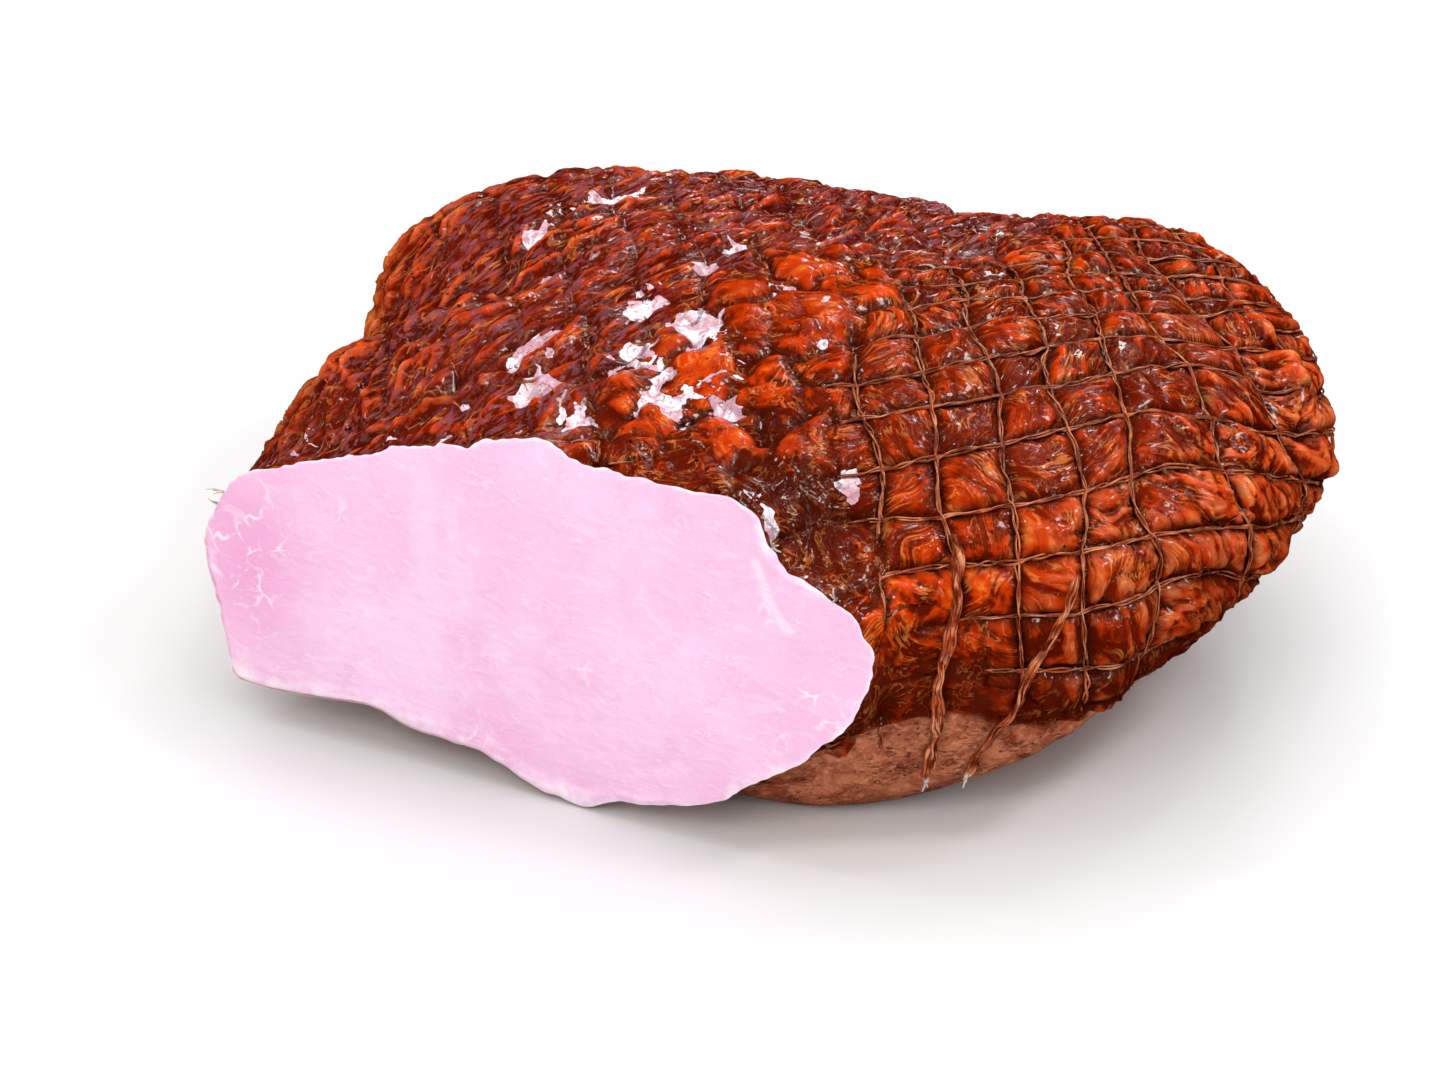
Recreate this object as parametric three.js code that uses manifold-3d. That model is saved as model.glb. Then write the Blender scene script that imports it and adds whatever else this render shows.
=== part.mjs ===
// A boneless smoked ham, still in its knitted roasting net, cut open at a slant across one end.
// Millimetres, +Z up. +X points straight into the cut face, so the face looks towards -X.
// The net was slit open along the rind that the ham rests on, and its far end is gathered and tied.
// The origin is the middle of the footprint box, at table height.
import * as THREE from "three";
import { mergeVertices } from "three/addons/utils/BufferGeometryUtils.js";
import Module from "manifold-3d";

const { degToRad, lerp, smoothstep, clamp } = THREE.MathUtils;

// ---- the meat: driving dimensions ---------------------------------------------------------
const LENGTH = 230; // cut face to the furthest point of the rounded end
const END_FULLNESS = 3.2; // superellipse power of the rounded end's profile
const SECTION_POWER = 2.3; // sections a little squarer than an ellipse
const FACE_BLEND = 50; // behind the cut face, where the cut outline has become the body's section
const SWELL_START = 26; // behind the cut face, where the lobes reach their full rise
const TABLE = -5.5; // the soft underside is pressed flat at this height

// The section at even stations along X: how far it reaches left (+Y), right (-Y), up and down
// from the core line, and the height of that line.
const STATIONS = [
  { x: 0, left: 97, right: 97, up: 50, down: 46, core: 45 },
  { x: 46, left: 100, right: 136, up: 55, down: 54, core: 48 },
  { x: 92, left: 112, right: 156, up: 57, down: 58, core: 51 },
  { x: 138, left: 132, right: 164, up: 51, down: 58, core: 52 },
  { x: 184, left: 145, right: 168, up: 46, down: 54, core: 52 },
  { x: 230, left: 145, right: 169, up: 44, down: 52, core: 52 },
];

// The cut outline: distances from the core line every 12 degrees, left, over the top, right, under.
const CUT_RADII = [
  96, 88, 70, 59, 53, 49, 48, 49, 49, 50, 54, 62, 76, 78, 95, 93, 82, 71, 65, 58, 52, 52, 49, 46,
  44, 48, 54, 64, 94, 95,
];

// Muscles that swell the skin and the seams between them. Angles run like those of CUT_RADII.
const LOBES = [
  { name: "far left muscle", x: 158, angle: 24, reach: [34, 24], rise: 7 },
  { name: "seam in front of it", x: 80, angle: 30, reach: [24, 24], rise: -13 },
  { name: "seam over the top", x: 84, angle: 66, reach: [24, 18], rise: -6 },
  { name: "rind flap", x: 34, angle: 212, reach: [28, 20], rise: 20 },
  { name: "hollow under the flank", x: 124, angle: 212, reach: [56, 22], rise: -30 },
  { name: "rise of the rind behind the cut", x: 60, angle: 215, reach: [45, 28], rise: -5 },
  { name: "right end", x: 204, angle: 156, reach: [60, 15], rise: 23 },
  { name: "crown", x: 62, angle: 118, reach: [26, 20], rise: 4 },
  { name: "knuckle of the right end", x: 202, angle: 163, reach: [26, 12], rise: 15 },
];

// ---- the net: driving dimensions ----------------------------------------------------------
const SLANT = 38; // degrees between the net's axis and the straight-in direction, to the right
const LEAN = 18; // degrees by which the hoops lean back from square to the net's axis, on the left
const AXIS_SIDE = 66; // how far left of the frame's X axis the net's axis passes, at the cut
const AXIS_HEIGHT = 56;
const CAP_START = 215; // along the net's axis, where the threads start to turn in over the end
const HOOP_PITCH = 17.5;
const FIRST_ROW = -45; // along the axis, well in front of the slanted cut
const CAP_ROWS = 6;
const BARE_CAP_ROWS = 2; // rows nearest the gather, too tight for a hoop of their own
const STRANDS = 25;
const UNDER_COLUMNS = 11; // strips of bare rind between the two edges of the slit net
const NET_EDGES = [-9, 192]; // where the net ends on the left and right flanks, in degrees
const SPACING_STATION = 150; // along the axis: the strands are evenly spaced round this section
const PILLOW = 3.2; // how far the meat swells out of a full-sized mesh
const PILLOW_SLOPE = 0.19; // and out of a narrow one, as a share of its width
const PILLOW_RING = 0.27; // how far in from a mesh's sides the pillow's shoulder is
const SHOULDER = 0.72; // the shoulder's height, as a share of the pillow's
const THREAD_RADIUS = 0.85;
const THREAD_SIDES = 4;
const HOOP_LIFT = 1.5; // hoop centre lines over the grooves they lie in
const STRAND_LIFT = 3.75; // strands cross over the hoops
const EDGE_TAIL = 0.35; // of a mesh: how far the cut ends of the hoops stick out past the last strand
const CUT_GAP = 0.5; // the knife cut the threads off this far behind the face
const DIMPLE = { depth: 7, spread: 12 }; // the gather pulls the meat in; its spread in degrees

// The gathered end, turned about the tip's normal: [distance from its axis, height over the skin].
const GATHER_PROFILE = [
  [0, 2.2], [5, 2.2], [5.4, 3], [4.4, 4], [4.4, 6.2], [7.2, 7.4], [7.6, 8.6], [5.6, 10], [2.4, 9.4], [0, 9.6],
];
const TIE = { radius: 6.2, thickness: 1.3, height: 5.1 }; // cord round the neck of the gather

// Loose ends hanging down the right flank: rows and columns of the net they pass, top to bottom.
const TAILS = [
  {
    radius: 1.9,
    path: [[12.08, 20.3], [12, 21], [11.95, 22], [11.93, 23], [11.85, 24], [11.72, 24.5], [11.65, 24.8]],
  },
  { radius: 1.4, path: [[13.85, 21.3], [13.72, 22], [13.1, 23], [12.75, 24], [12.55, 24.5], [12.42, 24.8]] },
];
const TAIL_SLACK = 0.7; // the loose ends hang clear of the net and the rind by this much

// ---- helpers ------------------------------------------------------------------------------
const wasm = await Module();
wasm.setup();

/** Smooth curve through evenly indexed values. */
function through(values, t, closed = false) {
  const n = values.length;
  const i = Math.floor(t);
  const f = t - i;
  const at = (k) => values[closed ? ((k % n) + n) % n : clamp(k, 0, n - 1)];
  const [a, b, c, d] = [at(i - 1), at(i), at(i + 1), at(i + 2)];
  return b + 0.5 * f * (c - a + f * (2 * a - 5 * b + 4 * c - d + f * (3 * (b - c) + d - a)));
}

/** A position-only geometry as a manifold-3d solid. */
function toSolid(geometry) {
  const bare = new THREE.BufferGeometry().setAttribute("position", geometry.getAttribute("position"));
  if (geometry.index) bare.setIndex(geometry.index);
  const merged = mergeVertices(bare, 1e-3);
  return new wasm.Manifold(
    new wasm.Mesh({
      numProp: 3,
      vertProperties: merged.attributes.position.array,
      triVerts: new Uint32Array(merged.index.array),
    }),
  );
}

function toGeometry(solid) {
  const mesh = solid.getMesh();
  const geometry = new THREE.BufferGeometry();
  geometry.setAttribute("position", new THREE.BufferAttribute(mesh.vertProperties, 3));
  geometry.setIndex(new THREE.BufferAttribute(mesh.triVerts, 1));
  geometry.computeVertexNormals();
  return geometry;
}

// ---- the meat's skin ----------------------------------------------------------------------
function section(x, measure) {
  const step = STATIONS[1].x - STATIONS[0].x;
  return through(STATIONS.map((s) => s[measure]), clamp(x, 0, LENGTH) / step);
}

function bodyRadius(x, angle) {
  const [c, s] = [Math.cos(angle), Math.sin(angle)];
  const across = section(x, c > 0 ? "left" : "right");
  const high = section(x, s > 0 ? "up" : "down");
  const power = SECTION_POWER;
  return (Math.abs(c / across) ** power + Math.abs(s / high) ** power) ** (-1 / power);
}

function cutRadius(angle) {
  const turns = (angle / (2 * Math.PI) + 2) % 1;
  return through(CUT_RADII, turns * CUT_RADII.length, true);
}

function lobeRise(x, angle) {
  return LOBES.reduce((sum, lobe) => {
    const away = angle - degToRad(lobe.angle);
    const turn = Math.atan2(Math.sin(away), Math.cos(away)) / degToRad(lobe.reach[1]);
    return sum + lobe.rise * Math.exp(-(((x - lobe.x) / lobe.reach[0]) ** 2) - turn * turn);
  }, 0);
}

/** Distance from the core line to the skin at x, in the direction of angle. */
function skinRadius(x, angle) {
  if (x >= LENGTH) return 0;
  const plain = lerp(cutRadius(angle), bodyRadius(x, angle), smoothstep(x, 0, FACE_BLEND));
  const closing = (1 - (Math.max(x, 0) / LENGTH) ** END_FULLNESS) ** (1 / END_FULLNESS);
  return (plain + lobeRise(x, angle) * smoothstep(x, 0, SWELL_START)) * closing;
}

function isInside(p) {
  const high = p.z - section(p.x, "core");
  return Math.hypot(p.y, high) < skinRadius(p.x, Math.atan2(high, p.y));
}

/** Where a ray from inside the meat meets the skin, or the table if that comes first. */
function hitSkin(from, direction) {
  let [near, far] = [0, 2 * LENGTH];
  while (far - near > 1e-3) {
    const middle = (near + far) / 2;
    if (isInside(from.clone().addScaledVector(direction, middle))) near = middle;
    else far = middle;
  }
  const toTable = direction.z < 0 ? (TABLE - from.z) / direction.z : Infinity;
  const hit = from.clone().addScaledVector(direction, Math.min(near, toTable));
  hit.z = Math.max(hit.z, TABLE);
  return hit;
}

// ---- the net's own coordinates ------------------------------------------------------------
const slant = degToRad(SLANT);
const ALONG = new THREE.Vector3(Math.cos(slant), -Math.sin(slant), 0);
const LEFT = new THREE.Vector3(Math.sin(slant), Math.cos(slant), 0);
const HOOP_LEFT = LEFT.clone().addScaledVector(ALONG, Math.tan(degToRad(LEAN))); // in the hoops' planes
const UP = new THREE.Vector3(0, 0, 1);
const AXIS_START = new THREE.Vector3(0, AXIS_SIDE, AXIS_HEIGHT);
const STRAIGHT_ROWS = Math.round((CAP_START - FIRST_ROW) / HOOP_PITCH);
const TIP_ROW = STRAIGHT_ROWS + CAP_ROWS;
const LAST_HOOP = TIP_ROW - BARE_CAP_ROWS;
const LAST_RING = TIP_ROW - 1; // the strands end here, round the gather

/** Where a ray leaves the net's axis: from is how far along it, turn bends it in over the end. */
function castFromAxis(from, angle, turn = 0) {
  const start = AXIS_START.clone().addScaledVector(ALONG, from);
  const direction = HOOP_LEFT.clone().multiplyScalar(Math.cos(angle)).addScaledVector(UP, Math.sin(angle));
  direction.multiplyScalar(Math.cos(turn)).addScaledVector(ALONG, Math.sin(turn));
  const offTip = (Math.PI / 2 - turn) / degToRad(DIMPLE.spread);
  return hitSkin(start, direction).addScaledVector(direction, -DIMPLE.depth * Math.exp(-offTip * offTip));
}

/** Angles that share out a stretch of the middle section evenly. */
function evenAngles(start, end, parts) {
  const fine = 720;
  const angles = Array.from({ length: fine + 1 }, (_, k) => lerp(start, end, k / fine));
  const points = angles.map((angle) => castFromAxis(SPACING_STATION, angle));
  const run = [0];
  for (let k = 1; k <= fine; k++) run.push(run[k - 1] + points[k].distanceTo(points[k - 1]));
  return Array.from({ length: parts + 1 }, (_, k) => {
    const goal = (run[fine] * k) / parts;
    const next = Math.max(1, run.findIndex((r) => r >= goal - 1e-9));
    return lerp(angles[next - 1], angles[next], (goal - run[next - 1]) / (run[next] - run[next - 1]));
  });
}

const [edgeLeft, edgeRight] = NET_EDGES.map(degToRad);
const COLUMN_ANGLES = [
  ...evenAngles(edgeLeft, edgeRight, STRANDS - 1),
  ...evenAngles(edgeRight, edgeLeft + 2 * Math.PI, UNDER_COLUMNS).slice(1, -1),
];
const COLUMNS = COLUMN_ANGLES.length;

/** A slight waver, so that no two meshes of the net are alike. */
function waver(u, v, size) {
  return size * (Math.sin(1.7 * u + 2.9 * v + 0.6) + Math.sin(2.3 * u - 1.9 * v + 2.1)) * 0.5;
}

/** Angle of a column, shared out evenly by the time the strands reach the gather. */
function columnAngle(row, column) {
  const [low, part] = [Math.floor(column), column - Math.floor(column)];
  const at = (k) => COLUMN_ANGLES[k % COLUMNS] + (k >= COLUMNS ? 2 * Math.PI : 0);
  const spread = edgeLeft + (column / COLUMNS) * 2 * Math.PI;
  return lerp(lerp(at(low), at(low + 1), part), spread, smoothstep(row, STRAIGHT_ROWS, LAST_RING));
}

/** The skin where a row and a column of the net cross. */
function netPoint(row, column) {
  const calm = 1 - smoothstep(row, LAST_HOOP - 1, LAST_RING);
  const wavyRow = row + calm * waver(row, 0.7 * column, 0.12);
  const angle = columnAngle(row, column) + calm * waver(0.9 * row, 1.3 * column, 0.015);
  const straight = Math.min(wavyRow, STRAIGHT_ROWS) / STRAIGHT_ROWS;
  const turn = (Math.max(wavyRow - STRAIGHT_ROWS, 0) / CAP_ROWS) * (Math.PI / 2);
  return castFromAxis(lerp(FIRST_ROW, CAP_START, straight), angle, turn);
}

/** The same, lifted off the skin along its normal; never below the table. */
function liftedPoint(row, column, lift) {
  const step = 0.12;
  const alongRow = netPoint(row, column + step).sub(netPoint(row, Math.max(column - step, 0)));
  const alongColumn = netPoint(row + step, column).sub(netPoint(row - step, column));
  const point = netPoint(row, column).addScaledVector(alongRow.cross(alongColumn).normalize(), lift);
  point.z = Math.max(point.z, TABLE);
  return point;
}

// ---- the meat, in one piece ---------------------------------------------------------------
/** Rows of points round the ham with a pillow in every mesh of the net, closed by the tip. */
function meatGeometry() {
  const positions = [];
  const indices = [];
  const add = (point) => positions.push(point.x, point.y, point.z) / 3 - 1;
  const grid = [];
  for (let row = 0; row <= LAST_RING; row++) {
    grid.push(Array.from({ length: COLUMNS }, (_, column) => netPoint(row, column)));
  }
  const rings = grid.map((points) => points.map(add));
  const next = (column) => (column + 1) % COLUMNS;
  for (let row = 0; row < LAST_RING; row++) {
    for (let column = 0; column < COLUMNS; column++) {
      const corners = [
        rings[row][column],
        rings[row][next(column)],
        rings[row + 1][next(column)],
        rings[row + 1][column],
      ];
      if (column >= STRANDS - 1) {
        const middle = add(netPoint(row + 0.5, column + 0.5));
        corners.forEach((corner, k) => indices.push(corner, corners[(k + 1) % 4], middle));
        continue;
      }
      const width = grid[row][column].distanceTo(grid[row][next(column)]);
      const length = grid[row][column].distanceTo(grid[row + 1][column]);
      const swell = Math.min(PILLOW, PILLOW_SLOPE * Math.min(width, length));
      const [near, far] = [PILLOW_RING, 1 - PILLOW_RING];
      const shoulder = [[near, near], [near, far], [far, far], [far, near]].map(([r, c]) =>
        add(liftedPoint(row + r, column + c, SHOULDER * swell)),
      );
      const crown = add(liftedPoint(row + 0.5, column + 0.5, swell));
      corners.forEach((corner, k) => {
        const [after, here, there] = [corners[(k + 1) % 4], shoulder[k], shoulder[(k + 1) % 4]];
        indices.push(corner, after, there, corner, there, here, here, there, crown);
      });
    }
  }
  const front = add(AXIS_START.clone().addScaledVector(ALONG, FIRST_ROW));
  const tip = add(netPoint(TIP_ROW, 0));
  for (let column = 0; column < COLUMNS; column++) {
    indices.push(rings[0][next(column)], rings[0][column], front);
    indices.push(rings[LAST_RING][column], rings[LAST_RING][next(column)], tip);
  }
  const geometry = new THREE.BufferGeometry();
  geometry.setAttribute("position", new THREE.Float32BufferAttribute(positions, 3));
  return geometry.setIndex(indices);
}

// ---- threads ------------------------------------------------------------------------------
/** A polyline that ExtrudeGeometry samples exactly at its points. */
class Polyline extends THREE.Curve {
  constructor(points) {
    super();
    this.points = points;
  }
  getPoint(t, target = new THREE.Vector3()) {
    const run = clamp(t, 0, 1) * (this.points.length - 1);
    const low = Math.min(Math.floor(run), this.points.length - 2);
    return target.lerpVectors(this.points[low], this.points[low + 1], run - low);
  }
  getPointAt(t, target) {
    return this.getPoint(t, target);
  }
  getTangentAt(t, target = new THREE.Vector3()) {
    const run = clamp(t, 0, 1) * (this.points.length - 1);
    const before = this.points[Math.max(Math.ceil(run - 1e-6) - 1, 0)];
    const after = this.points[Math.min(Math.floor(run + 1e-6) + 1, this.points.length - 1)];
    return target.subVectors(after, before).normalize();
  }
}

function threadGeometry(points, radius, sides = THREAD_SIDES) {
  const outline = Array.from({ length: sides }, (_, k) => {
    const turn = (2 * Math.PI * (k + 0.5)) / sides;
    return new THREE.Vector2(radius * Math.cos(turn), radius * Math.sin(turn));
  });
  return new THREE.ExtrudeGeometry(new THREE.Shape(outline), {
    steps: points.length - 1,
    extrudePath: new Polyline(points),
  });
}

/** The part of a solid that lies behind the cut, in one body. */
function behindCut(solid, x) {
  const bodies = solid.trimByPlane([1, 0, 0], x).decompose();
  return bodies.sort((a, b) => b.volume() - a.volume())[0];
}

function hoopPoints(row) {
  const columns = Array.from({ length: STRANDS }, (_, k) => k).concat(STRANDS - 1 + EDGE_TAIL);
  return columns.map((column) => liftedPoint(row, column, HOOP_LIFT));
}

function strandPoints(column) {
  return Array.from({ length: LAST_RING + 1 }, (_, row) => liftedPoint(row, column, STRAND_LIFT));
}

/** A loose end: over the strands while it crosses the net, then down on the bare rind. */
function tailPoints({ radius, path }) {
  const overNet = STRAND_LIFT + THREAD_RADIUS + radius + TAIL_SLACK;
  return path.map(([row, column]) => {
    const point = liftedPoint(row, column, column < STRANDS - 0.3 ? overNet : radius + 3 * TAIL_SLACK);
    point.z = Math.max(point.z, TABLE + radius + TAIL_SLACK);
    return point;
  });
}

// ---- materials and nodes ------------------------------------------------------------------
const root = new THREE.Group();

function addNode(name, solid, { color, roughness }) {
  const material = new THREE.MeshStandardMaterial({ color, roughness, metalness: 0, flatShading: true });
  const mesh = new THREE.Mesh(toGeometry(solid), material);
  mesh.name = name;
  root.add(mesh);
}

const SKIN = { color: 0x8a3a14, roughness: 0.35 };
const NET = { color: 0xa9744a, roughness: 0.6 };
const number = (k) => String(k).padStart(2, "0");

addNode("ham_meat", behindCut(toSolid(meatGeometry()), 0), SKIN);

let hoops = 0;
for (let row = 1; row <= LAST_HOOP; row++) {
  const thread = behindCut(toSolid(threadGeometry(hoopPoints(row), THREAD_RADIUS)), CUT_GAP);
  if (!thread || thread.boundingBox().max[0] < 8) continue;
  hoops += 1;
  addNode(`net_hoop_${number(hoops)}`, thread, NET);
}
for (let column = 0; column < STRANDS; column++) {
  const thread = behindCut(toSolid(threadGeometry(strandPoints(column), THREAD_RADIUS)), CUT_GAP);
  addNode(`net_strand_${number(column + 1)}`, thread, NET);
}
TAILS.forEach((tail, k) => {
  const thread = toSolid(threadGeometry(tailPoints(tail), tail.radius, 6));
  addNode(`net_tail_${k + 1}`, behindCut(thread, CUT_GAP), NET);
});

const tip = netPoint(TIP_ROW, 0);
const ring = [0, 1, 2].map((k) => netPoint(LAST_RING, (k * COLUMNS) / 3));
const tipNormal = ring[1].clone().sub(ring[0]).cross(ring[2].clone().sub(ring[0])).normalize();
if (tipNormal.dot(ALONG) < 0) tipNormal.negate();
const stand = new THREE.Matrix4().makeRotationFromQuaternion(
  new THREE.Quaternion().setFromUnitVectors(UP, tipNormal),
);
stand.setPosition(tip);
const profile = GATHER_PROFILE.map(([r, height]) => new THREE.Vector2(r, height));
const knob = new THREE.LatheGeometry(profile, 16).rotateX(Math.PI / 2);
addNode("net_gather", toSolid(knob.applyMatrix4(stand)), NET);
const cord = new THREE.TorusGeometry(TIE.radius, TIE.thickness, 6, 18).translate(0, 0, TIE.height);
addNode("net_tie", toSolid(cord.applyMatrix4(stand)), NET);

// ---- the frame's origin -------------------------------------------------------------------
const bounds = new THREE.Box3().setFromObject(root);
const middle = bounds.getCenter(new THREE.Vector3());
root.children.forEach((mesh) => mesh.geometry.translate(-middle.x, -middle.y, -bounds.min.z));

export default root;
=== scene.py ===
import math

import bpy
import numpy as np
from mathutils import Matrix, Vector


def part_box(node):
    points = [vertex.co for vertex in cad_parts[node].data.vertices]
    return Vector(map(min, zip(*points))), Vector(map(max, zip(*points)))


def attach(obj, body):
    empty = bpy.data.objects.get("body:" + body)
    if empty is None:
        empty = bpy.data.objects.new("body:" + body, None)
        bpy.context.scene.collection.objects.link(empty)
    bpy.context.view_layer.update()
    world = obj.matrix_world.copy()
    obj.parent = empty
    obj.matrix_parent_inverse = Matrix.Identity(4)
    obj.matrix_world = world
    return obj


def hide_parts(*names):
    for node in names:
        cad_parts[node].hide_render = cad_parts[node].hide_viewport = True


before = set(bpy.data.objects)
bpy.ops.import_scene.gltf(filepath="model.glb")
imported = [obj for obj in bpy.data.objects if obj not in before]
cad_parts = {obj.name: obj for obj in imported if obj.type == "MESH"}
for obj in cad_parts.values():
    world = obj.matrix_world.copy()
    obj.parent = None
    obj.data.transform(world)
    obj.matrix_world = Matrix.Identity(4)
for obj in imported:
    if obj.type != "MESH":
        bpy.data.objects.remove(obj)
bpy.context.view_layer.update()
scene = bpy.context.scene

# ---- the meat's form, as in the CAD part ----
LENGTH = 230.0
END_FULLNESS = 3.2
SECTION_POWER = 2.3
FACE_BLEND = 50.0
SWELL_START = 26.0
TABLE = -5.5
STATION_STEP = 46.0
LEFT_REACH = np.array([97, 100, 112, 132, 145, 145.0])
RIGHT_REACH = np.array([97, 136, 156, 164, 168, 169.0])
UP_REACH = np.array([50, 55, 57, 51, 46, 44.0])
DOWN_REACH = np.array([46, 54, 58, 58, 54, 52.0])
CORE_HEIGHT = np.array([45, 48, 51, 52, 52, 52.0])
CUT_RADII = np.array(
    [96, 88, 70, 59, 53, 49, 48, 49, 49, 50, 54, 62, 76, 78, 95, 93, 82, 71, 65, 58]
    + [52, 52, 49, 46, 44, 48, 54, 64, 94, 95.0]
)
LOBES = [  # x, angle, reach along x, reach in angle, rise
    (158, 24, 34, 24, 7),
    (80, 30, 24, 24, -13),
    (84, 66, 24, 18, -6),
    (34, 212, 28, 20, 20),
    (124, 212, 56, 22, -30),
    (60, 215, 45, 28, -5),
    (204, 156, 60, 15, 23),
    (62, 118, 26, 20, 4),
    (202, 163, 26, 12, 15),
]

# ---- the net, as in the CAD part ----
SLANT = math.radians(38)
LEAN = math.tan(math.radians(18))
ALONG = np.array([math.cos(SLANT), -math.sin(SLANT), 0])
SIDE = np.array([math.sin(SLANT), math.cos(SLANT), 0])
UP = np.array([0, 0, 1.0])
AXIS_START = np.array([0, 66, 56.0])
CAP_START = 215.0
FIRST_ROW = -45.0
STRAIGHT_ROWS = 15
CAP_ROWS = 6
TIP_ROW = STRAIGHT_ROWS + CAP_ROWS
LAST_HOOP = TIP_ROW - 2
LAST_RING = TIP_ROW - 1
STRANDS = 25
UNDER_COLUMNS = 11
COLUMNS = STRANDS + UNDER_COLUMNS - 1
NET_EDGES = (math.radians(-9), math.radians(192))
SPACING_STATION = 150.0
EDGE_TAIL = 0.35
CUT_GAP = 0.9
DIMPLE_DEPTH = 7.0
DIMPLE_SPREAD = math.radians(12)
HALVINGS = 22  # that find where a ray meets the skin

# ---- how finely the skin is modelled ----
AROUND = 760
ALONG_ROWS = 330
FACE_RINGS = 45

rng = np.random.default_rng(7)


# ---- small numeric helpers ----
def smoothstep(x, low, high):
    t = np.clip((x - low) / (high - low), 0, 1)
    return t * t * (3 - 2 * t)


def through(values, t, closed=False):
    """Smooth curve through evenly indexed values."""
    n = len(values)
    i = np.floor(t).astype(int)
    f = t - i

    def at(k):
        return values[k % n] if closed else values[np.clip(k, 0, n - 1)]

    a, b, c, d = at(i - 1), at(i), at(i + 1), at(i + 2)
    return b + 0.5 * f * (c - a + f * (2 * a - 5 * b + 4 * c - d + f * (3 * (b - c) + d - a)))


GRADIENTS = rng.normal(size=(256, 3))
GRADIENTS /= np.linalg.norm(GRADIENTS, axis=1, keepdims=True)
SHUFFLE = rng.permutation(256)


def lattice_key(cell, seed):
    """A number from 0 to 255 for each integer point."""
    x, y, z = (cell[..., 0] + seed * 57) & 255, cell[..., 1] & 255, cell[..., 2] & 255
    return SHUFFLE[(SHUFFLE[(SHUFFLE[x] + y) & 255] + z) & 255]


def noise(points, size, seed=0):
    """Smooth gradient noise, about -1 to 1, with features of that size in millimetres."""
    p = points / size + seed * 3.71
    cell = np.floor(p).astype(int)
    f = p - cell
    fade = f * f * f * (f * (f * 6 - 15) + 10)
    total = np.zeros(p.shape[:-1])
    for corner in np.ndindex(2, 2, 2):
        offset = np.array(corner)
        gradient = GRADIENTS[lattice_key(cell + offset, seed)]
        weight = np.prod(np.where(offset == 1, fade, 1 - fade), axis=-1)
        total += weight * np.sum(gradient * (f - offset), axis=-1)
    return total * 1.6


def warped(points, size, amount, seed=0):
    """The points pushed about by noise, so that patterns on them curl."""
    push = np.stack([noise(points, size, seed + k) for k in range(3)], axis=-1)
    return points + push * amount


def ridges(points, size, seed=0):
    """Noise with sharp crests: 1 on a crest, falling to 0 between them."""
    return 1 - np.minimum(np.abs(noise(points, size, seed)) * 2.4, 1)


def domes(u, v, size, seed=0):
    """Round lumps of about that size in plan: 1 on top of the highest, 0 on the ground between them."""
    p = np.stack([u, v], axis=-1) / size
    cell = np.floor(p).astype(int)
    highest = np.zeros(u.shape)
    for corner in np.ndindex(3, 3):
        neighbour = cell + np.array(corner) - 1
        own = GRADIENTS[lattice_key(np.concatenate([neighbour, 0 * neighbour[..., :1]], axis=-1), seed)]
        reach = 0.62 + 0.14 * own[..., 2]
        away = np.sum((p - neighbour - 0.5 - 0.36 * own[..., :2]) ** 2, axis=-1) / reach**2
        highest = np.maximum(highest, np.sqrt(np.clip(1 - away, 0, 1)) * (0.8 + 0.2 * own[..., 2]))
    return highest


def distance_to_line(places, line):
    """Least distance from each place to a line of points."""
    least = np.full(places.shape[:-1], 1e9)
    for start, end in zip(line[:-1], line[1:]):
        step = end - start
        t = np.clip((places - start) @ step / max(step @ step, 1e-9), 0, 1)
        least = np.minimum(least, np.linalg.norm(places - start - t[..., None] * step, axis=-1))
    return least


def blobs(places, spots):
    """The most of several soft spots on a plane: each is its place, one or two reaches, and its strength."""
    total = np.zeros(places.shape[:-1])
    for at_u, at_v, *reach, strength in spots:
        away = np.sum(((places[..., :2] - np.array([at_u, at_v])) / np.array(reach)) ** 2, axis=-1)
        total = np.maximum(total, strength * np.exp(-away))
    return total


# ---- the skin's form ----
def section(x, reach):
    """A section's measure at x, from its values every STATION_STEP."""
    return through(reach, np.clip(x, 0, LENGTH) / STATION_STEP)


def skin_radius(x, angle):
    """Distance from the core line to the skin, in millimetres."""
    c, s = np.cos(angle), np.sin(angle)
    across = np.where(c > 0, section(x, LEFT_REACH), section(x, RIGHT_REACH))
    high = np.where(s > 0, section(x, UP_REACH), section(x, DOWN_REACH))
    body = (np.abs(c / across) ** SECTION_POWER + np.abs(s / high) ** SECTION_POWER) ** (-1 / SECTION_POWER)
    cut = through(CUT_RADII, (angle / (2 * np.pi) % 1) * len(CUT_RADII), closed=True)
    blend = smoothstep(x, 0, FACE_BLEND)
    rise = np.zeros(np.shape(c + x))
    for lobe_x, lobe_angle, reach_x, reach_angle, height in LOBES:
        away = angle - math.radians(lobe_angle)
        turn = np.arctan2(np.sin(away), np.cos(away)) / math.radians(reach_angle)
        rise = rise + height * np.exp(-(((x - lobe_x) / reach_x) ** 2) - turn**2)
    closing = (1 - np.clip(x / LENGTH, 0, 1) ** END_FULLNESS) ** (1 / END_FULLNESS)
    return (cut + (body - cut) * blend + rise * smoothstep(x, 0, SWELL_START)) * closing


def skin_point(x, angle):
    radius = skin_radius(x, angle)
    z = section(x, CORE_HEIGHT) + radius * np.sin(angle)
    return np.stack([x + 0 * radius, radius * np.cos(angle), np.maximum(z, TABLE)], axis=-1)


def even_steps(points, count, values):
    """The values at even distances along a path of points."""
    run = np.concatenate([[0], np.cumsum(np.linalg.norm(np.diff(points, axis=0), axis=1))])
    return np.interp(np.linspace(0, run[-1], count), run, values)


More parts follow.
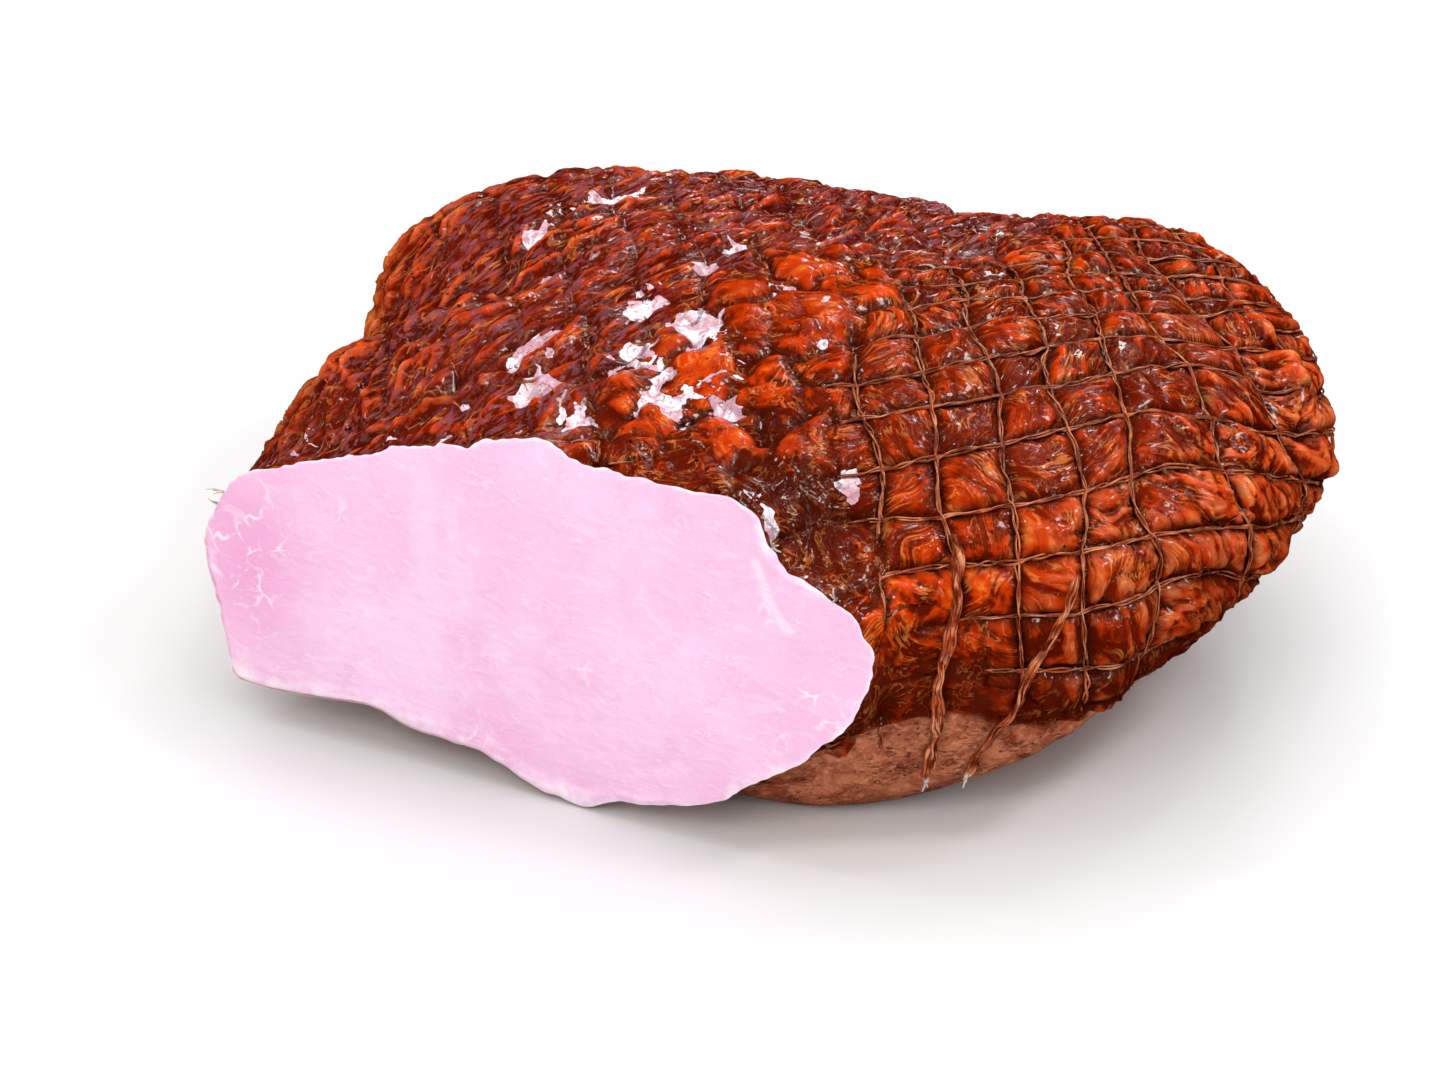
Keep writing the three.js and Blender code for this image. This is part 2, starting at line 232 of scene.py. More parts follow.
def grid_lines():
    """Even steps along the ham in x, and round it in angle."""
    x = np.sin(np.linspace(0, np.pi / 2, 3000)) * LENGTH
    closing = (1 - (x / LENGTH) ** END_FULLNESS) ** (1 / END_FULLNESS)
    steps_x = even_steps(np.stack([x, 105 * closing], axis=-1), ALONG_ROWS + 1, x)
    angle = np.linspace(0, 2 * np.pi, 7201)
    steps_angle = even_steps(skin_point(np.full(angle.shape, 110.0), angle), AROUND + 1, angle)
    return steps_x, steps_angle


# ---- the net's coordinates ----
def waver(u, v, size):
    """A slow wave, so that the net isn't a perfect grid."""
    return size * (np.sin(1.7 * u + 2.9 * v + 0.6) + np.sin(2.3 * u - 1.9 * v + 2.1)) * 0.5


def is_inside(p):
    """Whether points lie within the smooth form of the meat."""
    high = p[..., 2] - section(p[..., 0], CORE_HEIGHT)
    inside = np.hypot(p[..., 1], high) < skin_radius(np.maximum(p[..., 0], 0), np.arctan2(high, p[..., 1]))
    return inside & (p[..., 0] < LENGTH)


def cast_from_axis(along, angle, turn):
    """Where rays from the net's axis meet the skin, before the gather dimples it; and their directions."""
    start = AXIS_START + along[..., None] * ALONG
    flat = np.cos(angle)[..., None] * (SIDE + LEAN * ALONG) + np.sin(angle)[..., None] * UP
    direction = np.cos(turn)[..., None] * flat + np.sin(turn)[..., None] * ALONG
    near, far = np.zeros(along.shape), np.full(along.shape, 2 * LENGTH)
    for _ in range(HALVINGS):
        middle = (near + far) / 2
        inside = is_inside(start + middle[..., None] * direction)
        near, far = np.where(inside, middle, near), np.where(inside, far, middle)
    return start + near[..., None] * direction, direction


def even_angles(start, end, parts):
    """Angles that share out a stretch of the middle section evenly."""
    angles = np.linspace(start, end, 721)
    points, _ = cast_from_axis(np.full(angles.shape, SPACING_STATION), angles, 0 * angles)
    points[:, 2] = np.maximum(points[:, 2], TABLE)
    return even_steps(points, parts + 1, angles)


COLUMN_ANGLES = np.concatenate(
    [
        even_angles(NET_EDGES[0], NET_EDGES[1], STRANDS - 1),
        even_angles(NET_EDGES[1], NET_EDGES[0] + 2 * np.pi, UNDER_COLUMNS)[1:],
    ]
)


def column_angle(row, column):
    own = np.interp(column, np.arange(COLUMNS + 1), COLUMN_ANGLES)
    spread = NET_EDGES[0] + column / COLUMNS * 2 * np.pi
    return own + (spread - own) * smoothstep(row, STRAIGHT_ROWS, LAST_RING)


def calm(row):
    """1 on the body of the net, falling to 0 where its strands are drawn together."""
    return 1 - smoothstep(row, LAST_HOOP - 1, LAST_RING)


def row_drift(row, column):
    """How far a hoop wanders from its row."""
    return calm(row) * waver(row, 0.7 * column, 0.12)


def angle_drift(row, column):
    """How far a strand wanders from its angle."""
    return calm(row) * waver(0.9 * row, 1.3 * column, 0.015)


def net_point(row, column):
    """The skin where a row and a column of the net cross, before the gather dimples it."""
    row, column = np.broadcast_arrays(np.asarray(row, float), np.asarray(column, float))
    wavy_row = row + row_drift(row, column)
    angle = column_angle(row, column) + angle_drift(row, column)
    straight = np.minimum(wavy_row, STRAIGHT_ROWS) / STRAIGHT_ROWS
    turn = np.maximum(wavy_row - STRAIGHT_ROWS, 0) / CAP_ROWS * (np.pi / 2)
    return cast_from_axis(FIRST_ROW + (CAP_START - FIRST_ROW) * straight, angle, turn)[0]


def net_coordinates(points):
    """Row and column of the net at each point, and the direction of the axis ray through it."""
    away = points - AXIS_START
    side, high = away @ SIDE, away @ UP
    along = away @ ALONG - LEAN * side
    across = np.hypot(side, high)
    turn = np.maximum(np.arctan2(along - CAP_START, across), 0)
    straight = STRAIGHT_ROWS * (along - FIRST_ROW) / (CAP_START - FIRST_ROW)
    wavy_row = np.where(turn > 0, STRAIGHT_ROWS + turn / (np.pi / 2) * CAP_ROWS, straight)
    wavy_angle = (np.arctan2(high, side) - NET_EDGES[0]) % (2 * np.pi) + NET_EDGES[0]
    row, column = wavy_row, np.zeros(wavy_row.shape)
    for _ in range(3):
        angle = wavy_angle - angle_drift(row, column)
        low, high_end = np.zeros(row.shape), np.full(row.shape, float(COLUMNS))
        for _ in range(18):
            middle = (low + high_end) / 2
            below = column_angle(row, middle) < angle
            low, high_end = np.where(below, middle, low), np.where(below, high_end, middle)
        column = (low + high_end) / 2
        row = wavy_row - row_drift(row, column)
    flat = (side[..., None] * SIDE + high[..., None] * UP) / across[..., None]
    return row, column, np.cos(turn)[..., None] * flat + np.sin(turn)[..., None] * ALONG, turn


def dimpled(points, directions, turn):
    """The points drawn in towards the axis where the net is gathered."""
    depth = DIMPLE_DEPTH * np.exp(-(((np.pi / 2 - turn) / DIMPLE_SPREAD) ** 2))
    return points - depth[..., None] * directions


# ---- the skin in detail ----
# Spots in plan: x, y, radius, strength.
FAT_POOLS = [
    (32, -29, 16, 1.0),
    (40, -10, 11, 1.0),
    (56, -18, 11, 1.0),
    (80, -28, 9, 0.7),
    (15, -8, 7, 1.0),
    (38, 17, 9, 1.1),
    (25, 13, 7, 0.9),
    (62, 1, 7, 0.9),
    (76, 2, 7, 0.9),
    (92, 1, 6, 0.9),
    (108, 0, 6, 0.9),
    (105, 57, 5, 1.1),
    (137, 52, 8, 0.9),
    (28, -74, 4, 1.2),
    (4, -66, 3.5, 1.2),
    (163, -145, 4, 1.2),
    (62, -50, 8, 0.6),
    (96, -46, 8, 0.6),
]
LUMPY = [
    (30, -50, 20, 1.0),
    (22, -20, 14, 0.9),
    (45, -30, 22, 1.0),
    (68, -36, 24, 1.0),
    (92, -40, 22, 0.9),
    (112, -28, 14, 0.8),
]
VEILED_FROM = -12.0  # left of this line the net is grown over, and the surface runs in long folds
VEILED_SHIFT = 48.0  # how far the line moves to the right towards the far end
OVERGROWN = [  # x, y, z, radius: places where the threads have sunk out of sight
    (14, -100, 45, 20),
    (30, -112, 25, 16),
    (12, -78, 75, 13),
    (18, -58, 90, 17),
    (8, -38, 92, 12),
    (52, -128, 14, 22),
    (90, -140, 18, 26),
    (130, -135, 16, 26),
]
END_FOLD = np.array(  # a line in space that a fold of the right end follows, and the pit beside it
    [(163, -119, 86), (163, -128, 82), (160, -137, 77), (150, -144, 72), (148, -149, 64), (150, -150, 54.0)]
)
END_PIT = np.array([153, -133, 80.0])
LONG_FOLDS = [  # lines in plan that stand proud on the top left
    np.array([(6, 42), (20, 28), (34, 16), (52, 8.0)]),
    np.array([(14, 62), (34, 48), (58, 34), (84, 26.0)]),
    np.array([(50, 62), (74, 48), (100, 36), (124, 24.0)]),
    np.array([(6, 18), (16, 8), (24, -2), (30, -12.0)]),
    np.array([(70, 24), (92, 12), (112, 4), (134, -6.0)]),
]
LONG_CREASES = [  # and lines that are sunk
    np.array([(8, 49), (24, 35), (42, 24), (60, 17.0)]),
    np.array([(30, 66), (52, 54), (78, 44), (104, 38.0)]),
    np.array([(10, 22), (22, 9), (32, -3), (44, -8.0)]),
    np.array([(96, 60), (118, 44), (138, 34), (160, 28.0)]),
]
FAT_TIP_ANGLE = 336.0  # degrees round the cut, where its rim of fat runs out to a point
BAND_STRETCH = 0.2  # how much a millimetre along the bands counts: less draws them out longer
STREAK_LEAN = 0.22  # how far the long folds drift towards the right flank, per millimetre away from the cut
PILLOW = 2.6  # the most that meat swells between the threads, in millimetres
PILLOW_SLOPE = 0.2
GROOVE_DEPTH = 0.9
GROOVE_REACH = 1.9
FOLD_SIZE = 11
LUMP_HEIGHT = 6.5
LINE_HEIGHT = 2.2  # of the long folds above the skin, and of the creases below it
PIT_DEPTH = 5.0
LIP_HEIGHT = 1.7  # of the torn edge above the bare rind
RIM_FADE = 3.0  # how far behind the cut its ragged rim smooths out
TIP_LENGTH = 3.5
BROAD_BLUR = 24  # cells of the grid that a hollow is measured over
FINE_BLUR = 5


def slope_of(values, metric, wrap=None):
    """How fast a field on the grid changes per millimetre."""
    d_row = np.gradient(values, axis=0)
    d_col = (np.roll(values, -1, 1) - np.roll(values, 1, 1)) / 2
    if wrap:
        forward = np.roll(values, -1, 1) - values
        forward -= wrap * np.round(forward / wrap)
        d_col = (forward + np.roll(forward, 1, 1)) / 2
    e, f, g = metric
    det = np.maximum(e * g - f * f, 1e-6)
    return np.sqrt(np.maximum((g * d_row**2 - 2 * f * d_row * d_col + e * d_col**2) / det, 1e-9))


def normals_of(points):
    """Outward unit normals of a grid closed round its second axis, and its metric."""
    d_row = np.gradient(points, axis=0)
    d_col = (np.roll(points, -1, 1) - np.roll(points, 1, 1)) / 2
    normal = np.cross(d_col, d_row)
    normal = -normal if np.mean(normal[..., 2] * (points[..., 2] - 50)) < 0 else normal
    normal /= np.maximum(np.linalg.norm(normal, axis=-1, keepdims=True), 1e-9)
    metric = [np.sum(a * b, axis=-1) for a, b in ((d_row, d_row), (d_row, d_col), (d_col, d_col))]
    return normal, metric


def blurred(values, passes):
    """A field on the grid, smoothed over that many cells."""
    for _ in range(passes):
        values = (np.roll(values, 1, 1) + 2 * values + np.roll(values, -1, 1)) / 4
        edge = np.concatenate([values[:1], values, values[-1:]])
        values = (edge[:-2] + 2 * edge[1:-1] + edge[2:]) / 4
    return values


def painted_shade_of(points):
    """Painted shade: how much darker the colour is made low on the flank, and in the trough beside the cut.
    """
    low = (1 - smoothstep(points[..., 2], 30, 68)) * smoothstep(-points[..., 1], 40, 90)
    away = (points - np.array([16, -68, 86])) / np.array([15, 15, 14])
    return np.clip(np.maximum(low, 0.9 * np.exp(-np.sum(away**2, axis=-1))), 0, 1)


def overgrown(points):
    """1 where the threads have sunk out of sight, 0 elsewhere."""
    total = np.zeros(points.shape[:-1])
    for *centre, radius in OVERGROWN:
        total = np.maximum(total, np.exp(-(np.sum((points - centre) ** 2, axis=-1) / radius**2) ** 2))
    return total


def veiled(points):
    """1 where the net is grown over, on the top left; 0 on the right flank and below."""
    line = points[..., 1] - VEILED_FROM + VEILED_SHIFT * smoothstep(points[..., 0], 100, 150)
    return smoothstep(line, -12, 12) * smoothstep(points[..., 2], 42, 66)


def mesh_places(row, column, metric):
    """Where each point lies in its mesh of the net, the mesh's size, and three numbers of its own."""
    inside = row - np.floor(row), column - np.floor(column)
    sizes = 1 / slope_of(row, metric), 1 / slope_of(column, metric, wrap=COLUMNS)
    key = np.stack([np.floor(row), np.floor(column), 0 * row], axis=-1).astype(int)
    return inside, sizes, [lattice_key(key, seed) / 255 for seed in (3, 11, 19)]


def flow_in_meshes(smooth, inside, sizes, own):
    """Millimetres across and along curved bands of muscle, which lie their own way in each mesh."""
    u = (inside[0] - 0.5) * sizes[0] + 2.4 * noise(smooth, 8, 61)
    v = (inside[1] - 0.5) * sizes[1] + 2.4 * noise(smooth, 8, 64)
    turn, far = 2 * np.pi * own[0], 9 + 20 * own[1]
    ahead = u * np.cos(turn) + v * np.sin(turn) + far
    aside = v * np.cos(turn) - u * np.sin(turn)
    along = BAND_STRETCH * far * np.arctan2(aside, ahead)
    return np.stack([np.hypot(ahead, aside), along, 40 * own[0]], axis=-1)


def pillows(inside, sizes, own):
    """How far the meat swells between the threads, and where the grooves under the threads are."""
    to_row, to_column = (np.minimum(part, 1 - part) * size for part, size in zip(inside, sizes))
    groove = np.exp(-((np.minimum(to_row, to_column) / GROOVE_REACH) ** 2))
    arch = np.clip(np.sin(np.pi * inside[0]) * np.sin(np.pi * inside[1]), 0, 1) ** 0.45
    swell = np.minimum(PILLOW, PILLOW_SLOPE * np.minimum(*sizes))
    tilt = (own[1] - 0.5) * (inside[0] - 0.5) + (own[2] - 0.5) * (inside[1] - 0.5)
    return swell * arch * (0.7 + 0.55 * own[0] + 0.9 * tilt), groove


def net_cover(smooth, column):
    """The column with a ragged edge, and 1 where the net covers the meat, 0 on the bare rind."""
    edge = column + 0.45 * noise(smooth, 16, 43) + 0.2 * noise(smooth, 5, 44)
    netted = smoothstep(edge, -0.3, 0.25) * (1 - smoothstep(edge, STRANDS - 1.05, STRANDS - 0.8))
    return edge, np.where(edge > COLUMNS - 0.4, smoothstep(edge, COLUMNS - 0.4, COLUMNS), netted)


def near_lines(places, lines, reach):
    """1 on the nearest of some lines, falling to 0 away from it."""
    away = np.min([distance_to_line(places, line) for line in lines], axis=0)
    return np.exp(-((away / reach) ** 2))


def ragged_rim(x, angle, smooth):
    """How far the skin stands out behind the cut, so that the cut's outline is torn and not smooth."""
    rough = 1.8 * noise(smooth, 17, 53) + 1.4 * noise(smooth, 7, 51) + 0.6 * noise(smooth, 3, 52)
    rough *= 0.45 + 0.55 * smoothstep(smooth[..., 2], 40, 60)
    from_tip = np.degrees(angle) - FAT_TIP_ANGLE
    return np.exp(-x / RIM_FADE) * rough + TIP_LENGTH * np.exp(-x / RIM_FADE - (from_tip / 2.5) ** 2)


def make_skin():
    """The detailed skin on its grid, and the masks that its materials read."""
    steps_x, steps_angle = grid_lines()
    x, angle = np.meshgrid(steps_x, steps_angle[:-1], indexing="ij")
    smooth = skin_point(x, angle)
    row, column, direction, turn = net_coordinates(smooth)
    smooth = dimpled(smooth, direction, turn)
    normal, metric = normals_of(smooth)
    inside, sizes, own = mesh_places(row, column, metric)
    edge, netted = net_cover(smooth, column)
    pillow, groove = pillows(inside, sizes, own)
    groove = groove * netted

    # Where the surface is of which kind.
    fatty = smoothstep(blobs(smooth, LUMPY), 0.3, 0.7)
    streaky = veiled(smooth) * (1 - fatty)
    knobby = smoothstep(-smooth[..., 1], 112, 136) * smoothstep(smooth[..., 2], 20, 45)
    sunk_in = overgrown(smooth)
    on_top = smoothstep(normal[..., 2], 0.0, 0.35)

    # Bands of muscle, creases, folds and lumps.
    flow = flow_in_meshes(smooth, inside, sizes, own)
    free = np.maximum(fatty, sunk_in)[..., None] > 0.35
    flow = np.where(free, warped(smooth, 15, 9, seed=14) * np.array([0.7, 0.4, 0.55]), flow)
    curled = warped(smooth, 11, 4.5, seed=2)
    leaning = smooth + STREAK_LEAN * smooth[..., :1] * np.array([0, 1, 0])
    stretched = warped(leaning, 26, 5, seed=5) * np.array([0.12, 1, 1])
    detail = 1.5 * noise(smooth, 27, 21)
    detail += (1 - 0.7 * streaky) * (0.8 * noise(curled, 11, 22) + 0.35 * noise(curled, 5.2, 23))
    bands = 0.8 * (ridges(flow, 4.8, 24) - 0.4) + 0.4 * (ridges(flow, 2.6, 25) - 0.4)
    detail += bands * (1 - streaky) * (1 - 0.6 * fatty)
    folds = ridges(stretched, FOLD_SIZE, 26)
    detail += streaky * (2.6 * (folds - 0.6) + 1.3 * (ridges(stretched, 4.6, 27) - 0.5) - 0.6)
    bent_x, bent_y, bent_z = np.moveaxis(warped(smooth, 9, 4, seed=9), -1, 0)
    hills = np.maximum(domes(bent_x, bent_y, 17, 31), 0.5 * domes(bent_x, bent_y, 8, 32))
    detail += fatty * (LUMP_HEIGHT * hills - 2.6)
    plan = (smooth + 2.2 * noise(smooth, 9, 36)[..., None])[..., :2]
    dipped = near_lines(plan, LONG_CREASES, 1.7)
    detail += on_top * LINE_HEIGHT * (near_lines(plan, LONG_FOLDS, 3.0) - dipped)
    detail += (3.2 + 2.5 * noise(smooth, 6, 35)) * near_lines(smooth, [END_FOLD], 4.5)
    detail -= PIT_DEPTH * np.exp(-np.sum(((smooth - END_PIT) / 4.0) ** 2, axis=-1))
    detail += knobby * 3.0 * (domes(bent_x + 0.3 * bent_y, bent_z, 11, 34) - 0.4)
    pits = np.clip(ridges(curled, 2.6, 33) - 0.86, 0, 1) * 3
    covered = (1 - 0.8 * fatty) * (1 - 0.5 * streaky) * (1 - 0.75 * sunk_in)
    height = netted * (pillow * covered + detail - GROOVE_DEPTH * covered * groove - 0.5 * pits)

    # The bare rind, and the torn lip above it.
    bare = (1 - netted) * (0.5 * noise(smooth, 9, 41) + 0.16 * noise(smooth, 3, 42))
    height += bare * smoothstep(smooth[..., 2], TABLE, TABLE + 10)
    lip = np.exp(-(((edge - STRANDS + 1.02) / 0.08) ** 2)) * (0.6 + 0.6 * noise(smooth, 6, 37))
    tear = np.exp(-(((edge - STRANDS + 0.86) / 0.045) ** 2))
    height += LIP_HEIGHT * np.clip(lip, 0, 1)

    # White fat shows in the hollows.
    sunken = fatty * (0.6 - 1.2 * hills) + streaky * (0.6 - folds)
    webbed = 0.45 * noise(curled, 7, 61) + 0.55 * (ridges(curled, 5, 62) - 0.45)
    pooled = 1.3 * blobs(smooth, FAT_POOLS) + 0.9 * sunken + webbed
    height -= 0.3 * smoothstep(pooled, 0.95, 1.01) * netted
    between_lumps = fatty * (1 - smoothstep(hills, 0.15, 0.6))
    # Painted shade for the colour: between the lumps, in the sunk creases on top, and under the torn edge.
    crease = np.maximum(between_lumps, np.maximum(0.9 * dipped * on_top, tear))

    # Nothing swells past the cut, under the table, or near the tip of the gather.
    near_tip = smoothstep(np.pi / 2 - turn, math.radians(4), math.radians(16))
    height = height * near_tip * smoothstep(x, -2, 7)
    at_end = smoothstep(LENGTH - x, 0, 0.8)
    outward = np.stack([0 * x, np.cos(angle), np.sin(angle)], axis=-1)
    points = smooth + normal * (height * at_end)[..., None]
    points += outward * ragged_rim(x, angle, smooth)[..., None]
    points[..., 0] = np.where(steps_x[:, None] == 0, 0, np.maximum(points[..., 0], 0.02))
    points[..., 2] = np.maximum(points[..., 2], TABLE)
    return {
        "steps_x": steps_x,
        "steps_angle": steps_angle,
        "points": points,
        "smooth_normal": normal,
        "flow": flow / 1000,
        "masks": {
            "netted": netted,
            # groove, relief and cavity are read by the colour: painted shade in grooves and hollows, painted
            # highlight on small crests
            "groove": groove * covered,
            "relief": height - blurred(height, FINE_BLUR),
            "cavity": height - blurred(height, BROAD_BLUR),
            "pooled": np.clip(pooled, 0, 1.6) * netted,
            "streaky": streaky,
            "fatty": fatty * hills,
            "crease": crease,
            "upward": np.clip(normal[..., 2], 0, 1),
            "pale": np.maximum(0.75 * knobby, 0.45 * smoothstep(smooth[..., 1], 20, 60)) * netted,
            # painted shade, low on the flank and in the trough beside the cut
            "shade": painted_shade_of(smooth) * netted,
            "cell": own[0],
        },
    }


skin = make_skin()

ham_low, ham_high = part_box("ham_meat")
middle_y = (skin["points"][..., 1].min() + skin["points"][..., 1].max()) / 2
ORIGIN = np.array([-1000 * ham_low[0], middle_y - 500 * (ham_low[1] + ham_high[1]), TABLE])


def to_frame(points):
    """Millimetres in the part's own coordinates to metres in the row frame."""
    return (np.asarray(points, float) - ORIGIN) / 1000


# ---- camera ----
VIEW_TURN = math.radians(28)  # the view looks along +X, turned this far towards +Y
VIEW_DOWN = math.radians(27)
VIEW_TARGET = (33.5, -37.7, 60)
VIEW_DISTANCE = 1.0
LENS = 100


def make_camera():
    camera = bpy.data.objects.new("camera", bpy.data.cameras.new("camera"))
    scene.collection.objects.link(camera)
    camera.data.lens = LENS
    camera.data.sensor_width = 36
    level = math.cos(VIEW_DOWN)
    ahead = Vector((level * math.cos(VIEW_TURN), level * math.sin(VIEW_TURN), -math.sin(VIEW_DOWN)))
    camera.location = Vector(to_frame(VIEW_TARGET)) - VIEW_DISTANCE * ahead
    camera.rotation_euler = ahead.to_track_quat("-Z", "Y").to_euler()
    scene.camera = camera


make_camera()


# ---- node helpers ----
def rgb(red, green, blue):
    """A display colour, 0 to 255, as the linear colour that shaders take."""
    parts = [c / 255 for c in (red, green, blue)]
    linear = [c / 12.92 if c <= 0.04045 else ((c + 0.055) / 1.055) ** 2.4 for c in parts]
    return (*linear, 1.0)


# A Mix node's two inputs and its output, for each kind of value.
MIX_SOCKETS = {"RGBA": (6, 7, 2), "FLOAT": (2, 3, 0)}


class Nodes:
    """A material's node tree, with short calls for the nodes that the ham uses."""

    def __init__(self, name):
        self.material = bpy.data.materials.new(name)
        self.material.use_nodes = True
        self.tree = self.material.node_tree
        self.shader = self.tree.nodes["Principled BSDF"]
        coordinates = self.tree.nodes.new("ShaderNodeTexCoord")
        self.place = coordinates.outputs["Object"]

    def new(self, kind, **settings):
        node = self.tree.nodes.new("ShaderNode" + kind)
        for key, value in settings.items():
            setattr(node, key, value)
        return node

    def link(self, source, socket):
        if isinstance(source, (int, float, tuple)):
            socket.default_value = source
        else:
            self.tree.links.new(source, socket)

    def attribute(self, name, output="Fac"):
        return self.new("Attribute", attribute_name=name).outputs[output]

    def scaled_place(self, x, y, z, turn=0.0):
        """The place turned about z, then scaled."""
        node = self.new("Mapping", vector_type="TEXTURE")
        self.link(self.place, node.inputs["Vector"])
        node.inputs["Rotation"].default_value = (0, 0, turn)
        node.inputs["Scale"].default_value = (1 / x, 1 / y, 1 / z)
        return node.outputs[0]

    def texture(self, kind, scale, place=None, **settings):
        node = self.new("Tex" + kind, **settings)
        node.inputs["Scale"].default_value = scale
        self.link(place or self.place, node.inputs["Vector"])
        return node

    def noise(self, size, detail=4.0, roughness=0.55, warp=0.0, place=None):
        """Noise with features of that size in millimetres."""
        node = self.texture("Noise", 1000 / size, place)
        node.inputs["Detail"].default_value = detail
        node.inputs["Roughness"].default_value = roughness
        node.inputs["Distortion"].default_value = warp
        return node.outputs["Fac"]

    def dots(self, apart, share):
        """Small round dots, some of them missing; share is their radius over their distance apart."""
        away = self.texture("Voronoi", 1000 / apart, feature="F1").outputs["Distance"]
        dot = self.remap(away, share, share * 1.9, 1, 0)
        return self.times(dot, self.remap(self.noise(17, 2), 0.48, 0.56))

    def math(self, operation, a, b=0.0):
        node = self.new("Math", operation=operation)
        self.link(a, node.inputs[0])
        self.link(b, node.inputs[1])
        return node.outputs[0]

    def remap(self, value, low, high, to_low=0.0, to_high=1.0):
        node = self.new("MapRange", interpolation_type="SMOOTHSTEP")
        self.link(value, node.inputs["Value"])
        for socket, number in zip(("From Min", "From Max", "To Min", "To Max"), (low, high, to_low, to_high)):
            node.inputs[socket].default_value = number
        return node.outputs["Result"]

    def times(self, a, b):
        return self.math("MULTIPLY", a, b)

    def plus(self, a, b):
        return self.math("ADD", a, b)

    def minus(self, a, b):
        return self.math("SUBTRACT", a, b)

    def lines(self, value, width, middle=0.5, strength=1.0):
        """Thin lines where a noise passes through its middle."""
        return self.remap(self.math("ABSOLUTE", self.minus(value, middle)), 0.0, width, strength, 0)

    def mix(self, factor, a, b, kind="RGBA"):
        """Between a and b, which are colours, or numbers where kind is FLOAT."""
        node = self.new("Mix", data_type=kind)
        first, second, result = MIX_SOCKETS[kind]
        self.link(factor, node.inputs[0])
        self.link(a, node.inputs[first])
        self.link(b, node.inputs[second])
        return node.outputs[result]

    def layered(self, color, layers):
        """The colour with layers over it: each is how much of it shows, and its display colour."""
        for factor, top in layers:
            color = self.mix(factor, color, rgb(*top))
        return color

    def bumps(self, layers):
        """A normal bumped by each height in turn, to that many millimetres."""
        normal = None
        for height, millimetres in layers:
            node = self.new("Bump")
            node.inputs["Distance"].default_value = millimetres / 1000
            self.link(height, node.inputs["Height"])
            if normal:
                self.link(normal, node.inputs["Normal"])
            normal = node.outputs["Normal"]
        return normal

    def finish(self, color, roughness, normal=None, **constants):
        self.link(color, self.shader.inputs["Base Color"])
        self.link(roughness, self.shader.inputs["Roughness"])
        if normal:
            self.link(normal, self.shader.inputs["Normal"])
        for socket, value in constants.items():
            self.shader.inputs[socket.replace("_", " ")].default_value = value
        return self.material


